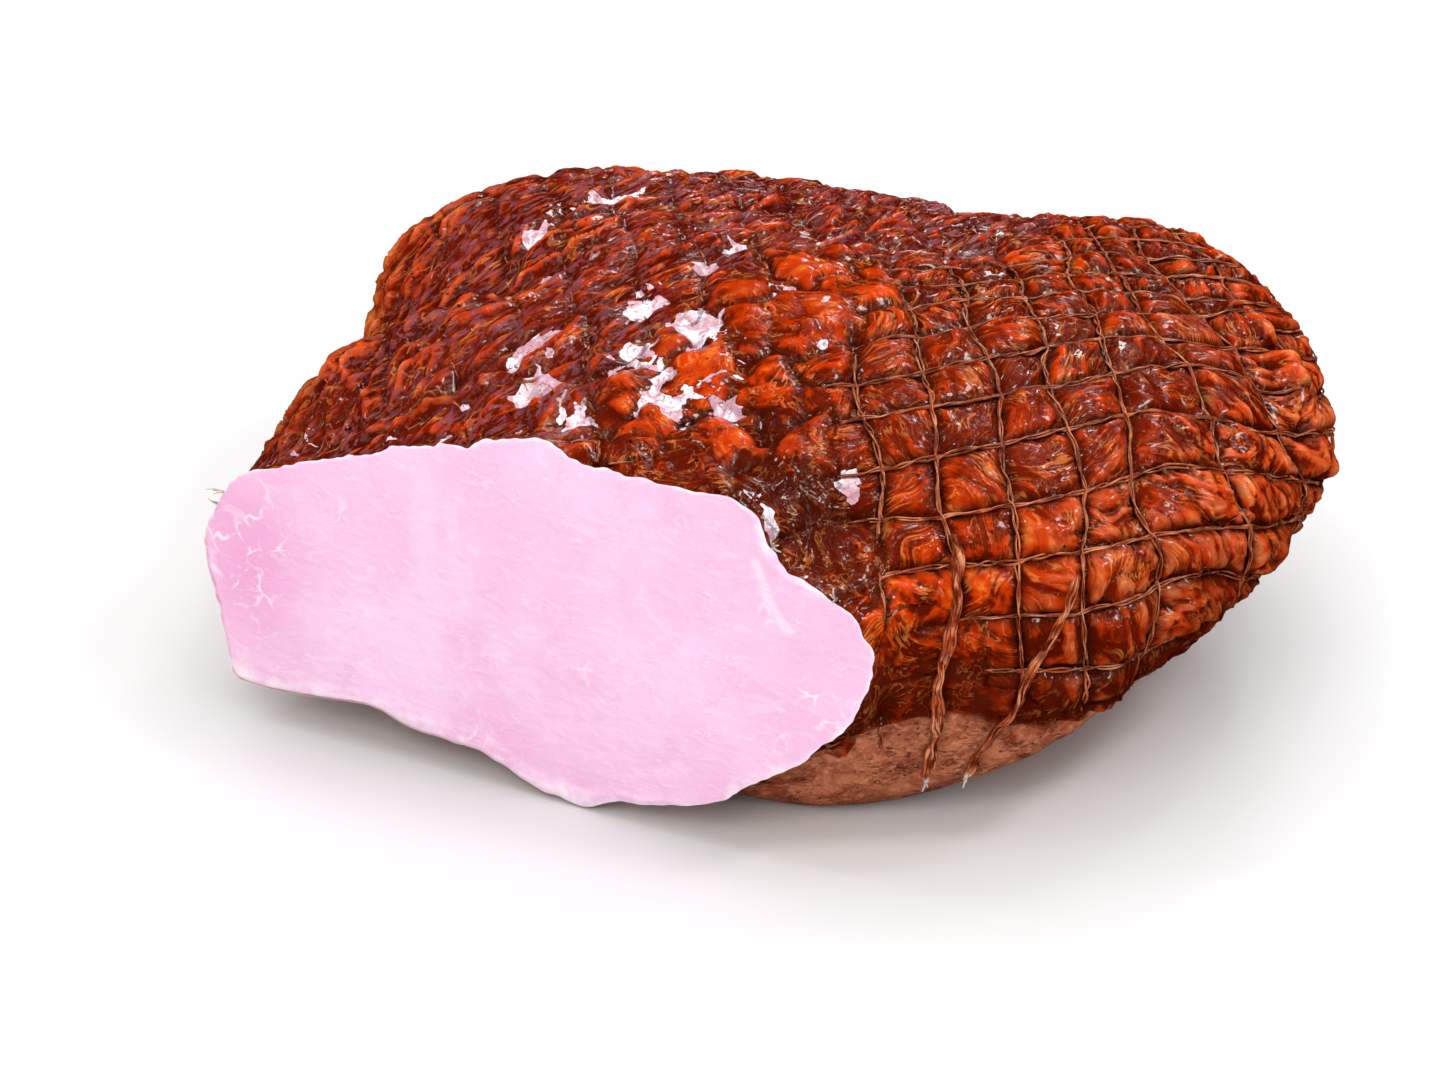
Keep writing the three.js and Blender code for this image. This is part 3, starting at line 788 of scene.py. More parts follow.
# ---- materials ----
def skin_material():
    n = Nodes("smoked_skin")
    relief, cavity, netted, groove, cell, shade, upward, streaky, crease, fatty, pale, pooled = (
        n.attribute(name)
        for name in "relief cavity netted groove cell shade upward streaky crease fatty pale pooled".split()
    )
    pooled = n.plus(pooled, n.times(n.minus(n.noise(3.4, 4, 0.6, 1.2), 0.5), 0.45))
    patchy, fine = n.noise(9, 5, 0.6, 0.8), n.noise(1.7, 4, 0.6, 0.5)

    # Bands of muscle: curved in each mesh, long and straight on the top left.
    flow, long = n.attribute("flow", "Vector"), n.scaled_place(0.1, 1, 1, -math.atan(STREAK_LEAN))
    band = n.mix(streaky, n.noise(2.6, 4, 0.55, 0.4, flow), n.noise(3.6, 2, 0.5, 0.3, long), "FLOAT")
    thin = n.mix(streaky, n.noise(1.0, 3, 0.6, 0.3, flow), n.noise(1.2, 2, 0.5, 0.2, long), "FLOAT")
    crest = n.times(n.lines(band, 0.035, middle=0.52), n.remap(n.noise(7, 3), 0.42, 0.6))

    # How light each place is: each term is a value, its middle and its share.
    # Painted shade and light: darker where the surface faces up, lighter where the long folds face sideways.
    tone = n.minus(patchy, n.remap(upward, 0.5, 1.0, 0.03, 0.22))
    tone = n.plus(tone, n.times(streaky, n.remap(upward, 0.3, 0.8, 0.14, 0)))
    for value, middle, share in [
        # painted highlight on small crests and painted shade in small hollows
        (relief, 0, 0.42),
        (cell, 0.5, 0.12),
        (band, 0.5, 0.5),
        (thin, 0.5, 0.35),
        # painted shade darkens the tone low on the flank and beside the cut
        (shade, 0, -0.25),
        (fatty, 0.1, 0.25),
    ]:
        tone = n.plus(tone, n.times(n.minus(value, middle), share))

    # From red-brown in the hollows, through orange-brown, to pale orange on the crests.
    pale = n.times(pale, n.remap(n.noise(5, 4, 0.6, 0.8), 0.4, 0.62, 0.1, 1.0))
    # Painted sheen: a mauve reflection painted on the upward faces of the long folds.
    painted_sheen = n.times(n.remap(upward, 0.4, 1.0), n.times(streaky, n.remap(thin, 0.5, 0.58)))
    painted_sheen = n.times(painted_sheen, n.remap(n.noise(22, 3), 0.38, 0.55, 0.25, 0.9))
    pits = n.dots(4.2, 0.085)
    color = n.layered(
        rgb(86, 13, 0),
        [
            (n.remap(tone, 0.28, 0.62), (204, 56, 0)),  # orange-brown
            (n.remap(tone, 0.6, 0.95), (236, 122, 40)),  # pale orange
            (n.times(pale, n.remap(tone, 0.35, 0.7)), (214, 126, 78)),  # paler on the right end's knobs and on the left side
            (n.remap(n.noise(30, 3), 0.42, 0.62, 0, 0.45), (130, 30, 4)),  # broad darker patches
            (n.times(crest, 0.5), (246, 146, 70)),  # lines along the bands
            (n.remap(fine, 0.62, 0.74, 0, 0.35), (238, 126, 52)),  # fine light specks
            (painted_sheen, (128, 66, 74)),  # painted mauve sheen on the upward faces
            (n.remap(cavity, -2.6, -0.3, 0.9, 0), (40, 6, 1)),  # painted shade in the hollows
            (n.times(groove, 0.8), (36, 6, 1)),  # painted shade in the grooves under the threads
            (n.times(crease, 0.75), (58, 12, 3)),  # painted shade in the creases between the lumps and under the torn edge
            (n.times(shade, 0.65), (52, 10, 3)),  # painted shade, low on the flank and in the trough beside the cut
            (n.times(pits, 0.85), (36, 7, 3)),  # pits
        ],
    )

    # The bare rind, with fine cracks and pores.
    cracks = n.lines(n.noise(4.0, 4, 0.6, 2.0, n.scaled_place(0.5, 0.5, 1)), 0.022)
    cracks = n.times(cracks, n.remap(n.noise(7, 3), 0.45, 0.6))
    rind = n.layered(
        rgb(138, 62, 38),
        [
            (n.remap(n.noise(9, 5, 0.65, 0.5), 0.35, 0.65), (198, 116, 80)),
            (n.remap(n.noise(1.6, 4, 0.65), 0.5, 0.7, 0, 0.7), (216, 146, 112)),
            (n.times(cracks, 0.8), (70, 24, 14)),  # cracks
            (n.times(n.dots(3.4, 0.09), 0.9), (52, 20, 12)),  # pores
        ],
    )

    # White fat, with a dark shore round each patch.
    white = n.mix(n.remap(n.noise(6, 3, 0.5, 1.0), 0.42, 0.58), rgb(206, 158, 170), rgb(242, 228, 236))
    white = n.layered(white, [(n.lines(n.noise(5, 3, 0.5, 1.6), 0.02, strength=0.8), (112, 70, 66))])
    color = n.layered(n.mix(netted, rind, color), [(n.remap(pooled, 0.86, 0.96, 0, 0.75), (70, 18, 8))])
    color = n.mix(n.remap(pooled, 0.965, 0.99), color, white)

    bare = n.minus(1.0, netted)
    gloss = n.remap(n.noise(5, 4), 0.35, 0.7, 0.07, 0.2)
    bumps = n.bumps(
        [
            (n.noise(3.4, 4, 0.55, 1.0), 0.7),
            (n.times(band, netted), 0.9),
            (n.times(thin, netted), 0.35),
            (n.times(cracks, bare), -0.5),
            (n.times(pits, -1.0), 0.35),
        ]
    )
    return n.finish(
        color,
        n.plus(gloss, n.times(bare, 0.2)),
        bumps,
        Specular_IOR_Level=0.3,
        Specular_Tint=(1.0, 0.8, 0.6, 1.0),
        Coat_Weight=0.38,
        Coat_Roughness=0.03,
    )


def cut_material():
    n = Nodes("cut_meat")
    rim, seam, marble, deep, crust = (n.attribute(name) for name in "rim seam marble deep crust".split())
    soft, grain = n.noise(9, 4, 0.55, 0.8), n.noise(2.6, 4, 0.6, 1.0, n.scaled_place(1, 0.35, 0.8))
    strokes = n.lines(n.noise(5.0, 3, 0.55, 1.5, n.scaled_place(1, 0.4, 1)), 0.014)

    # Veins run along the borders of cells in a bent space.
    bend = n.texture("Noise", 110).outputs["Color"]
    moved = n.new("VectorMath", operation="MULTIPLY_ADD")
    for value, socket in zip((bend, (0.013, 0.013, 0.013), n.place), moved.inputs):
        n.link(value, socket)
    cells = n.texture("Voronoi", 105, moved.outputs[0], feature="DISTANCE_TO_EDGE")
    vein = n.times(n.remap(cells.outputs["Distance"], 0.01, 0.075, 1, 0), n.remap(soft, 0.42, 0.58))
    vein = n.times(vein, n.remap(n.noise(4, 3), 0.4, 0.6, 0.4, 1.0))

    wavy = n.plus(rim, n.times(n.minus(n.noise(6, 4), 0.5), 4.0))
    color = n.layered(
        rgb(245, 194, 226),
        [
            (n.remap(n.noise(40, 3, 0.5, 0.6), 0.35, 0.65), (250, 210, 238)),
            (n.remap(soft, 0.45, 0.75, 0, 0.5), (242, 184, 216)),
            (n.remap(grain, 0.52, 0.68, 0, 0.35), (254, 228, 244)),
            (n.times(deep, 0.8), (238, 160, 206)),  # deeper pink
            (n.times(strokes, n.remap(soft, 0.48, 0.62, 0, 0.5)), (255, 238, 248)),
            (n.times(vein, marble), (255, 238, 246)),  # marbled fat
            (n.remap(seam, 0.2, 2.2, 0.6, 0), (255, 236, 246)),  # the seam between two muscles
            (n.remap(wavy, -0.6, 1.2, 0.8, 0), (255, 242, 246)),  # the rim of fat
            (crust, (150, 78, 50)),  # its brown edge
        ],
    )
    return n.finish(
        color,
        n.remap(n.noise(6, 4), 0.3, 0.7, 0.34, 0.5),
        n.bumps([(n.noise(14, 3), 0.8), (grain, 0.3)]),
        Subsurface_Weight=0.25,
        Subsurface_Scale=0.005,
        Subsurface_Radius=(1.0, 0.45, 0.45),
        Specular_IOR_Level=0.5,
    )


def thread_material():
    n = Nodes("net_thread")
    top, fibre = n.attribute("top"), n.noise(0.8, 3, 0.6, 0.2, n.attribute("fibres", "Vector"))
    light = n.times(n.remap(fibre, 0.45, 0.6), n.remap(n.noise(5, 3), 0.38, 0.6, 0.25, 0.95))
    color = n.layered(
        rgb(104, 28, 8),
        [
            (n.remap(n.noise(9, 4), 0.4, 0.62), (162, 62, 24)),
            (n.times(light, n.remap(top, 0.4, 0.9)), (232, 150, 106)),  # fibres that catch the light
            (n.remap(fibre, 0.38, 0.48, 0.7, 0), (52, 12, 3)),  # between fibres
            (n.remap(top, 0.0, 0.5, 0.9, 0), (34, 6, 2)),  # painted shade on the side against the meat
            (n.attribute("frayed"), (240, 228, 218)),  # clean thread at cut ends
        ],
    )
    return n.finish(
        color,
        n.remap(n.noise(3, 3), 0.3, 0.7, 0.14, 0.34),
        n.bumps([(fibre, 0.35)]),
        Specular_Tint=(1.0, 0.7, 0.5, 1.0),
        Coat_Weight=0.3,
        Coat_Roughness=0.06,
    )


# ---- meshes ----
def make_object(name, points, faces, material, masks=None, vectors=None):
    """A piece from points in millimetres and faces of four corners, or three and a -1."""
    faces = np.asarray(faces)
    counts = np.where(faces[:, 3] < 0, 3, 4)
    corners = faces.ravel()
    corners = corners[corners >= 0]
    mesh = bpy.data.meshes.new(name)
    mesh.vertices.add(len(points))
    mesh.vertices.foreach_set("co", to_frame(points).astype(np.float32).ravel())
    mesh.loops.add(len(corners))
    mesh.loops.foreach_set("vertex_index", corners.astype(np.int32))
    mesh.polygons.add(len(faces))
    starts = np.concatenate([[0], np.cumsum(counts)[:-1]])
    mesh.polygons.foreach_set("loop_start", starts.astype(np.int32))
    mesh.polygons.foreach_set("loop_total", counts.astype(np.int32))
    mesh.polygons.foreach_set("use_smooth", np.full(len(faces), True))
    for layer_name, values in (masks or {}).items():
        layer = mesh.attributes.new(layer_name, "FLOAT", "POINT")
        layer.data.foreach_set("value", np.asarray(values, np.float32).ravel())
    for layer_name, values in (vectors or {}).items():
        layer = mesh.attributes.new(layer_name, "FLOAT_VECTOR", "POINT")
        layer.data.foreach_set("vector", np.asarray(values, np.float32).ravel())
    mesh.update(calc_edges=True)
    mesh.validate()
    piece = bpy.data.objects.new(name, mesh)
    scene.collection.objects.link(piece)
    mesh.materials.append(material)
    return piece


# ---- the cut face ----
SEAM = np.array([(-64, 76), (-66, 72), (-67, 68), (-70, 63), (-73, 60.0)])
# Spots on the cut: y, z, reach in y, reach in z, strength. That of THICK_FAT is in millimetres of fat.
MARBLED = [
    (84, 44, 16, 24, 1.0),
    (-82, 44, 12, 12, 1.0),
    (-78, 30, 14, 8, 0.8),
    (-24, 35, 14, 7, 0.6),
    (56, 64, 16, 8, 0.5),
    (-68, 66, 10, 9, 0.6),
    (14, 9, 12, 9, 0.5),
]
DEEPER_PINK = [(84, 42, 17, 24, 1.0), (-20, 10, 60, 16, 0.35), (-78, 50, 14, 20, 0.3)]
THICK_FAT = [(-70, 80, 12, 8, 3.5), (-62, 18, 14, 9, 2.5), (80, 10, 12, 8, 8.0), (42, 8, 22, 6, 2.5)]
BROWN_RIM = [(60, 5, 44, 22, 1.0), (95, 30, 12, 22, 1.0)]
THIN_FAT = 0.8
UNDER_FAT = 3.6  # thicker along the bottom of the cut
FAR_FROM_FAT = 9.0  # what the skin's points have for the distances that only the cut uses
RIM_STRIDE = 4  # every so many points of the rim are enough to measure distances from it

# Patches of the square that the surface is unwrapped on: left, bottom, width, height.
TOP_PATCH = (0.005, 0.42, 0.99, 0.575)
UNDER_PATCH = (0.005, 0.005, 0.58, 0.4)
CUT_PATCH = (0.61, 0.1, 0.38, 0.22)


def face_points():
    """Rings from just inside the rim to the middle of the cut, and the middle itself."""
    rim = skin["points"][0]
    centre = np.array([0, 0, CORE_HEIGHT[0]])
    inward = (np.arange(1, FACE_RINGS) / FACE_RINGS) ** 1.35
    rings = rim + inward[:, None, None] * (centre - rim)
    return np.concatenate([rings.reshape(-1, 3), centre[None]])


def face_masks(points):
    """The masks that the cut's material reads, and each point's distance from the rim."""
    y, z = points[:, 1], points[:, 2]
    rim_line = skin["points"][0][::RIM_STRIDE, 1:]
    rim = distance_to_line(points[:, 1:], np.concatenate([rim_line, rim_line[:1]]))
    angle = np.degrees(np.arctan2(z - CORE_HEIGHT[0], y)) % 360
    thick = THIN_FAT + UNDER_FAT * smoothstep(angle, 210, 262) * (1 - smoothstep(angle, 318, 338))
    for spot in THICK_FAT:
        thick += blobs(points[:, 1:], [spot])
    crust = 1.3 * np.exp(-((rim / 0.5) ** 2)) * blobs(points[:, 1:], BROWN_RIM)
    masks = {
        "rim": rim / thick,
        "seam": distance_to_line(points[:, 1:], SEAM),
        "marble": blobs(points[:, 1:], MARBLED),
        "deep": blobs(points[:, 1:], DEEPER_PINK),
        "crust": np.clip(crust, 0, 1),
    }
    return masks, distance_to_line(points[:, 1:], rim_line)


def face_relief(points, masks, rim_distance):
    """The cut is nearly flat: slow waves, and fat that stands a little proud of the meat."""
    slow = 0.5 * noise(points, 30, 71) + 0.18 * noise(points, 9, 72)
    seam_dip = -0.5 * np.exp(-((masks["seam"] / 1.1) ** 2))
    fat_rise = 0.35 * (1 - smoothstep(masks["rim"], 0.6, 1.3))
    tufted = 0.5 * noise(points, 2.6, 73) * (1 - smoothstep(masks["rim"], 0.3, 1.2))
    return (slow + seam_dip + fat_rise + tufted) * smoothstep(rim_distance, 0, 1.5)


def in_patch(patch, u, v):
    """Places on the square, from places on a patch of it that run from 0 to 1."""
    left, bottom, width, height = patch
    return np.stack([left + width * u, bottom + height * v], axis=-1)


def uv_of_skin(rows, columns):
    """Where the skin lies on the square: the first half turn is its top, the second its underside."""
    turn, along = 2 * columns / AROUND, rows / ALONG_ROWS
    on_top = (turn <= 1)[..., None]
    return np.where(on_top, in_patch(TOP_PATCH, turn, along), in_patch(UNDER_PATCH, turn - 1, along))


def ring_of_quads(near, far):
    """Faces between two rings of point numbers."""
    return np.stack([near, np.roll(near, -1), np.roll(far, -1), far], axis=-1)


def ring_of_triangles(ring, hub):
    """Faces from a ring of point numbers to one point."""
    return np.stack([ring, np.roll(ring, -1), np.full(len(ring), hub), np.full(len(ring), -1)], axis=-1)


def make_ham():
    """The meat: its skin, closed by the cut face, as one piece."""
    rows = skin["points"][:-1]
    tip = skin["points"][-1].mean(axis=0)
    face = face_points()
    cut_masks, rim_distance = face_masks(face)
    face[:, 0] -= face_relief(face, cut_masks, rim_distance)
    points = np.concatenate([rows.reshape(-1, 3), tip[None], face])

    ring = np.arange(AROUND)
    tip_index = ALONG_ROWS * AROUND
    quads = [ring_of_quads(ring + row * AROUND, ring + (row + 1) * AROUND) for row in range(ALONG_ROWS - 1)]
    fan = ring_of_triangles(ring + (ALONG_ROWS - 1) * AROUND, tip_index)
    rings = [ring] + [tip_index + 1 + k * AROUND + ring for k in range(FACE_RINGS - 1)]
    cut = [ring_of_quads(inner, outer) for outer, inner in zip(rings[:-1], rings[1:])]
    hub = ring_of_triangles(rings[-1], len(points) - 1)[:, [2, 1, 0, 3]]
    skin_faces = np.concatenate([*quads, fan])
    cut_faces = np.concatenate([*cut, hub])

    masks = {}
    for name, values in skin["masks"].items():
        masks[name] = np.concatenate([values[:-1].ravel(), [values[-1].mean()], np.zeros(len(face))])
    for name, values in cut_masks.items():
        away = FAR_FROM_FAT if name in ("rim", "seam") else 0.0
        masks[name] = np.concatenate([np.full(tip_index + 1, away), values])
    masks["rim"][:AROUND] = 0
    flow = np.zeros((len(points), 3))
    flow[:tip_index] = skin["flow"][:-1].reshape(-1, 3)
    faces = np.concatenate([skin_faces, cut_faces])
    ham = make_object("ham", points, faces, skin_material(), masks, {"flow": flow})
    ham.data.materials.append(cut_material())
    kinds = np.repeat([0, 1], [len(skin_faces), len(cut_faces)]).astype(np.int32)
    ham.data.polygons.foreach_set("material_index", kinds)
    mark_rim_sharp(ham.data)
    unwrap(ham.data, face, tip_index + 1)
    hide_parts("ham_meat")
    return ham


def mark_rim_sharp(mesh):
    """The cut meets the skin at a crisp edge."""
    ends = np.zeros(len(mesh.edges) * 2, np.int32)
    mesh.edges.foreach_get("vertices", ends)
    ends = ends.reshape(-1, 2)
    layer = mesh.attributes.new("sharp_edge", "BOOLEAN", "EDGE")
    layer.data.foreach_set("value", (ends < AROUND).all(axis=1))


def unwrap(mesh, face, face_start):
    """A UV map that gives each side of the skin and the cut a patch of its own."""
    layer = mesh.uv_layers.new(name="OFBake")
    row, column = np.meshgrid(np.arange(ALONG_ROWS - 1), np.arange(AROUND), indexing="ij")
    quad_rows = np.stack([row, row, row + 1, row + 1], axis=-1).reshape(-1, 4)
    quad_columns = np.stack([column, column + 1, column + 1, column], axis=-1).reshape(-1, 4)
    around = np.arange(AROUND)
    fan_rows = np.tile([ALONG_ROWS - 1, ALONG_ROWS - 1, ALONG_ROWS], (AROUND, 1))
    fan_columns = np.stack([around, around + 1, around + 0.5], axis=-1)
    parts = []
    for rows, columns in ((quad_rows, quad_columns), (fan_rows, fan_columns)):
        side = columns.min(axis=1, keepdims=True) < AROUND / 2
        held = np.where(side, np.minimum(columns, AROUND / 2), np.maximum(columns, AROUND / 2 + 1e-6))
        parts.append(uv_of_skin(rows, held).reshape(-1, 2))
    corners = np.zeros(len(mesh.loops), np.int32)
    mesh.loops.foreach_get("vertex_index", corners)
    corners = corners[len(parts[0]) + len(parts[1]) :]
    rim = skin["points"][0]
    on_rim = (corners < AROUND)[:, None]
    place = np.where(on_rim, rim[corners % AROUND], face[np.maximum(corners - face_start, 0)])
    share = (place - rim.min(axis=0)) / np.maximum(np.ptp(rim, axis=0), 1e-9)
    parts.append(in_patch(CUT_PATCH, share[:, 1], share[:, 2]))
    layer.data.foreach_set("uv", np.concatenate(parts).astype(np.float32).ravel())


# ---- threads ----
def on_skin(points):
    """The detailed skin's point and smooth normal nearest to points of the smooth form."""
    x = np.clip(points[..., 0], 0, LENGTH)
    angle = np.arctan2(points[..., 2] - section(x, CORE_HEIGHT), points[..., 1]) % (2 * np.pi)
    r = np.interp(x, skin["steps_x"], np.arange(ALONG_ROWS + 1))
    c = np.interp(angle, skin["steps_angle"], np.arange(AROUND + 1))
    r0 = np.minimum(r.astype(int), ALONG_ROWS - 1)
    c0 = np.floor(c).astype(int)
    fr, fc = (r - r0)[..., None], (c - c0)[..., None]

    def at(values):
        a, b = values[r0, c0 % AROUND], values[r0, (c0 + 1) % AROUND]
        d, e = values[r0 + 1, c0 % AROUND], values[r0 + 1, (c0 + 1) % AROUND]
        return (a * (1 - fc) + b * fc) * (1 - fr) + (d * (1 - fc) + e * fc) * fr

    normal = at(skin["smooth_normal"])
    return at(skin["points"]), normal / np.linalg.norm(normal, axis=-1, keepdims=True)


FIBRE_STRETCH = 0.16


def unit(vectors):
    return vectors / np.maximum(np.linalg.norm(vectors, axis=-1, keepdims=True), 1e-9)


def with_ends(values):
    """A tube's values with those of its two end points: its first and its last."""
    return np.concatenate([values, values[:1], values[-1:]])


def tube(path, radius, sides, up):
    """Points and faces of a closed tube along a path, how far up each point faces, and its fibres' place."""
    count = len(path)
    tangent = unit(np.gradient(path, axis=0))
    side = unit(np.cross(up, tangent))
    up = np.cross(tangent, side)
    turn = np.arange(sides) / sides * 2 * np.pi
    round_it = np.stack([np.cos(turn), np.sin(turn)], axis=-1)
    ring = round_it[None, :, :1] * side[:, None] + round_it[None, :, 1:] * up[:, None]
    points = (path[:, None] + ring * radius[:, None, None]).reshape(-1, 3)
    points = np.concatenate([points, path[:1], path[-1:]])
    k = np.arange(sides)
    walls = [ring_of_quads(step * sides + k, (step + 1) * sides + k) for step in range(count - 1)]
    start_cap = ring_of_triangles(k, len(points) - 2)[:, [1, 0, 2, 3]]
    end_cap = ring_of_triangles((count - 1) * sides + k, len(points) - 1)
    topness = np.concatenate([np.tile(0.5 + 0.5 * np.sin(turn), count), [0.5, 0.5]])
    run = np.concatenate([[0], np.cumsum(np.linalg.norm(np.diff(path, axis=0), axis=1))])
    along = FIBRE_STRETCH * (run + path[0, 0] * 7).repeat(sides)[:, None]
    fibres = with_ends(np.concatenate([np.tile(round_it, (count, 1)), along], axis=1))
    return points, np.concatenate([*walls, start_cap, end_cap]), topness, fibres


class Yarns:
    """Collects tubes into one piece."""

    def __init__(self):
        self.points, self.faces, self.top, self.frayed, self.fibres = [], [], [], [], []
        self.total = 0

    def add(self, path, radius, sides=6, frayed=0.0, up=(0.3, 0.2, 0.93)):
        """One tube; its radius and how frayed it is may vary along it."""
        radius, frayed = (np.broadcast_to(np.asarray(v, float), (len(path),)) for v in (radius, frayed))
        points, faces, top, fibres = tube(path, radius, sides, np.broadcast_to(up, path.shape))
        self.points.append(points)
        self.faces.append(np.where(faces < 0, -1, faces + self.total))
        self.top.append(top)
        self.frayed.append(with_ends(np.repeat(frayed, sides)))
        self.fibres.append(fibres)
        self.total += len(points)

    def piece(self, name, replaced):
        masks = {"top": np.concatenate(self.top), "frayed": np.concatenate(self.frayed)}
        vectors = {"fibres": np.concatenate(self.fibres) / 1000}
        points, faces = np.concatenate(self.points), np.concatenate(self.faces)
        made = make_object(name, points, faces, THREAD, masks, vectors)
        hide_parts(*replaced)
        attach(made, "root")


THREAD = thread_material()
PLY_RADIUS = 0.31  # of each of a thread's two plies, in millimetres
PLY_OFFSET = 0.38  # of a ply's middle from the thread's own
BURIAL = 2.2  # how far the threads are sunk where lumps have swollen over them
OVERGROWTH = 2.6  # where the net has sunk out of sight low on the flank
VEIL = 1.3  # and where the net is grown over
WOBBLE = 0.6  # how far the threads stray from their line, in millimetres
SMOOTHING = 6  # passes that let a thread bridge small dips in the skin
STEPS = 22  # along one mesh of the net
HALF_TURNS = 2  # of the two plies round each other, along one mesh
MEETING = 0.09  # how far on each side two crossing threads act on each other, in meshes
TAPER = 0.08  # how long the tapered ends of a thread are, in meshes


def sunk_by(points):
    """How far the threads of the net have sunk into the skin, in millimetres."""
    sunk = np.maximum(BURIAL * smoothstep(blobs(points, LUMPY), 0.25, 0.6), VEIL * veiled(points))
    return np.maximum(sunk, OVERGROWTH * overgrown(points))


def twisted(
    yarns, rows, columns, phase, lift, offset, radius, wobble=WOBBLE, loose=False, frayed=0.0, sides=6
):
    """Two plies wound round each other along a path on the skin, given by its rows and columns."""
    points, normal = on_skin(net_point(rows, columns))
    path = points + normal * (lift - (0 if loose else sunk_by(points)))[:, None]
    for _ in range(SMOOTHING):
        path[1:-1] = (path[:-2] + 2 * path[1:-1] + path[2:]) / 4
    across = unit(np.cross(np.gradient(path, axis=0), normal))
    shift = noise(path, 7.0, 81) * wobble
    for ply in range(2):
        turn = phase + ply * np.pi + 1.3 * noise(path, 6.0, 82 + ply)
        centre = path + across * (offset * np.cos(turn) + shift)[:, None]
        centre += normal * (0.6 * offset * np.sin(turn))[:, None]
        centre[:, 2] = np.maximum(centre[:, 2], TABLE + 0.2)
        thickness = radius * (1 + 0.4 * noise(path, 4.0, 86 + ply))
        yarns.add(centre, thickness, sides, frayed, up=normal)
    return path, normal


def crossing(t):
    """1 where a thread meets a crossing thread, falling to 0 a short way from it."""
    away = np.abs(t - np.round(t))
    return np.exp(-((away / MEETING) ** 2))


def hoop(yarns, row):
    """A thread round the ham, left out where the cut has taken it away."""
    t = np.arange(-0.25, STRANDS - 1 + EDGE_TAIL, 1 / STEPS)
    ahead = net_point(row + 0 * t, t)[:, 0] > CUT_GAP
    edges = np.flatnonzero(np.diff(np.concatenate([[0], ahead.astype(int), [0]])))
    for start, end in zip(edges[::2], edges[1::2]):
        if end - start > STEPS // 2:
            hoop_run(yarns, row, t[start:end])


def hoop_run(yarns, row, t):
    """One unbroken stretch of a hoop."""
    meets = crossing(t)
    phase = np.pi * (HALF_TURNS * t + 0.5) + 0.9 * np.sin(2.1 * t + row) * (1 - meets)
    shrink = 1 - 0.25 * smoothstep(row, STRAIGHT_ROWS, LAST_HOOP)
    offset = PLY_OFFSET * (1 + 1.1 * meets) * (1 + 0.4 * (1 - meets) * np.sin(1.3 * t + 2 * row)) * shrink
    tips = smoothstep(t, t[0], t[0] + TAPER) * smoothstep(t[-1] - t, 0, TAPER)
    radius = PLY_RADIUS * shrink * (0.5 + 0.5 * tips)
    twisted(yarns, row + 0 * t, t, phase, 0.6 + 0.35 * meets, offset, radius)


def first_row_behind_cut(column):
    """The row where a strand leaves the cut face."""
    rows = np.linspace(0, LAST_RING, 4000)
    ahead = net_point(rows, np.full(rows.shape, float(column)))[:, 0]
    return rows[np.argmax(ahead > CUT_GAP)]


def strand(yarns, column):
    """A lengthwise thread, from the cut to the gathered end."""
    start = first_row_behind_cut(column)
    t = np.arange(start, LAST_RING + 0.01, 1 / STEPS)
    meets = crossing(t)
    near_tip = smoothstep(t, STRAIGHT_ROWS + 2, LAST_RING)
    tips = smoothstep(t, start, start + TAPER)
    phase = np.pi * HALF_TURNS * t + 0.9 * np.sin(1.7 * t + 2 * column) * (1 - meets)
    offset = PLY_OFFSET * (1 + 0.45 * (1 - meets) * np.sin(1.1 * t + 3 * column)) * (1 - 0.3 * near_tip)
    radius = PLY_RADIUS * (1 - 0.3 * near_tip) * (0.55 + 0.45 * tips)
    lift = 0.65 + 0.25 * meets + 0.6 * near_tip
    return twisted(yarns, t, column + 0 * t, phase, lift, offset, radius, WOBBLE - 0.5 * near_tip)


def fray(yarns, root, direction, normal, count, length, radius=0.3, spread=0.3):
    """A tuft of loose white fibres at a cut end."""
    t = np.linspace(0, 1, 7)
    for _ in range(count):
        aim = unit(unit(direction) + spread * rng.normal(size=3) + 0.25 * normal)
        curl = rng.normal(size=3) * 0.3
        reach = length * rng.uniform(0.5, 1.0)
        path = root + reach * (t[:, None] * aim + (t**2)[:, None] * curl * 0.6)
        path[:, 2] = np.maximum(path[:, 2], TABLE + 0.3)
        yarns.add(path, radius * (1 - 0.45 * t), 5, 0.3 + 0.6 * t)


FRAYED_STRANDS = {1: 4, 3: 5, 20: 7, 21: 4}  # by column: how many fibres stand out of its cut end
LOOSE_ENDS = [  # rows and columns of the net that each follows, and its ply's radius
    ([[12.08, 20.3], [12, 21], [11.95, 22], [11.93, 23], [11.85, 24], [11.72, 24.5], [11.65, 24.8]], 0.95),
    ([[13.85, 21.3], [13.72, 22], [13.1, 23], [12.75, 24], [12.55, 24.5], [12.42, 24.8]], 0.7),
]


def tail(number, route, ply):
    """A loose end of the net, laid down the flank and dried on to it."""
    yarns = Yarns()
    route = np.array(route)
    t = np.linspace(0, len(route) - 1, 90)
    rows, columns = through(route[:, 0], t), through(route[:, 1], t)
    over = 1.0 + 0.9 * crossing(columns) * (columns < STRANDS - 1.2) + 0.3 * np.sin(2.4 * t)
    ends = smoothstep(t, 0, 0.25) * (1 - 0.35 * smoothstep(t, t[-1] - 0.4, t[-1]))
    white = smoothstep(t, t[-1] - 0.35, t[-1])
    lift, offset, radius = over * ply + 0.4, 0.85 * ply, ply * (0.5 + 0.5 * ends)
    path, normal = twisted(yarns, rows, columns, 2.2 * t + number, lift, offset, radius, 0.5, True, white, 8)
    fray(yarns, path[-1], path[-1] - path[-6], normal[-1], 6, 2.6, 0.4, 0.15)
    yarns.piece(f"loose_end_{number}", [f"net_tail_{number}"])


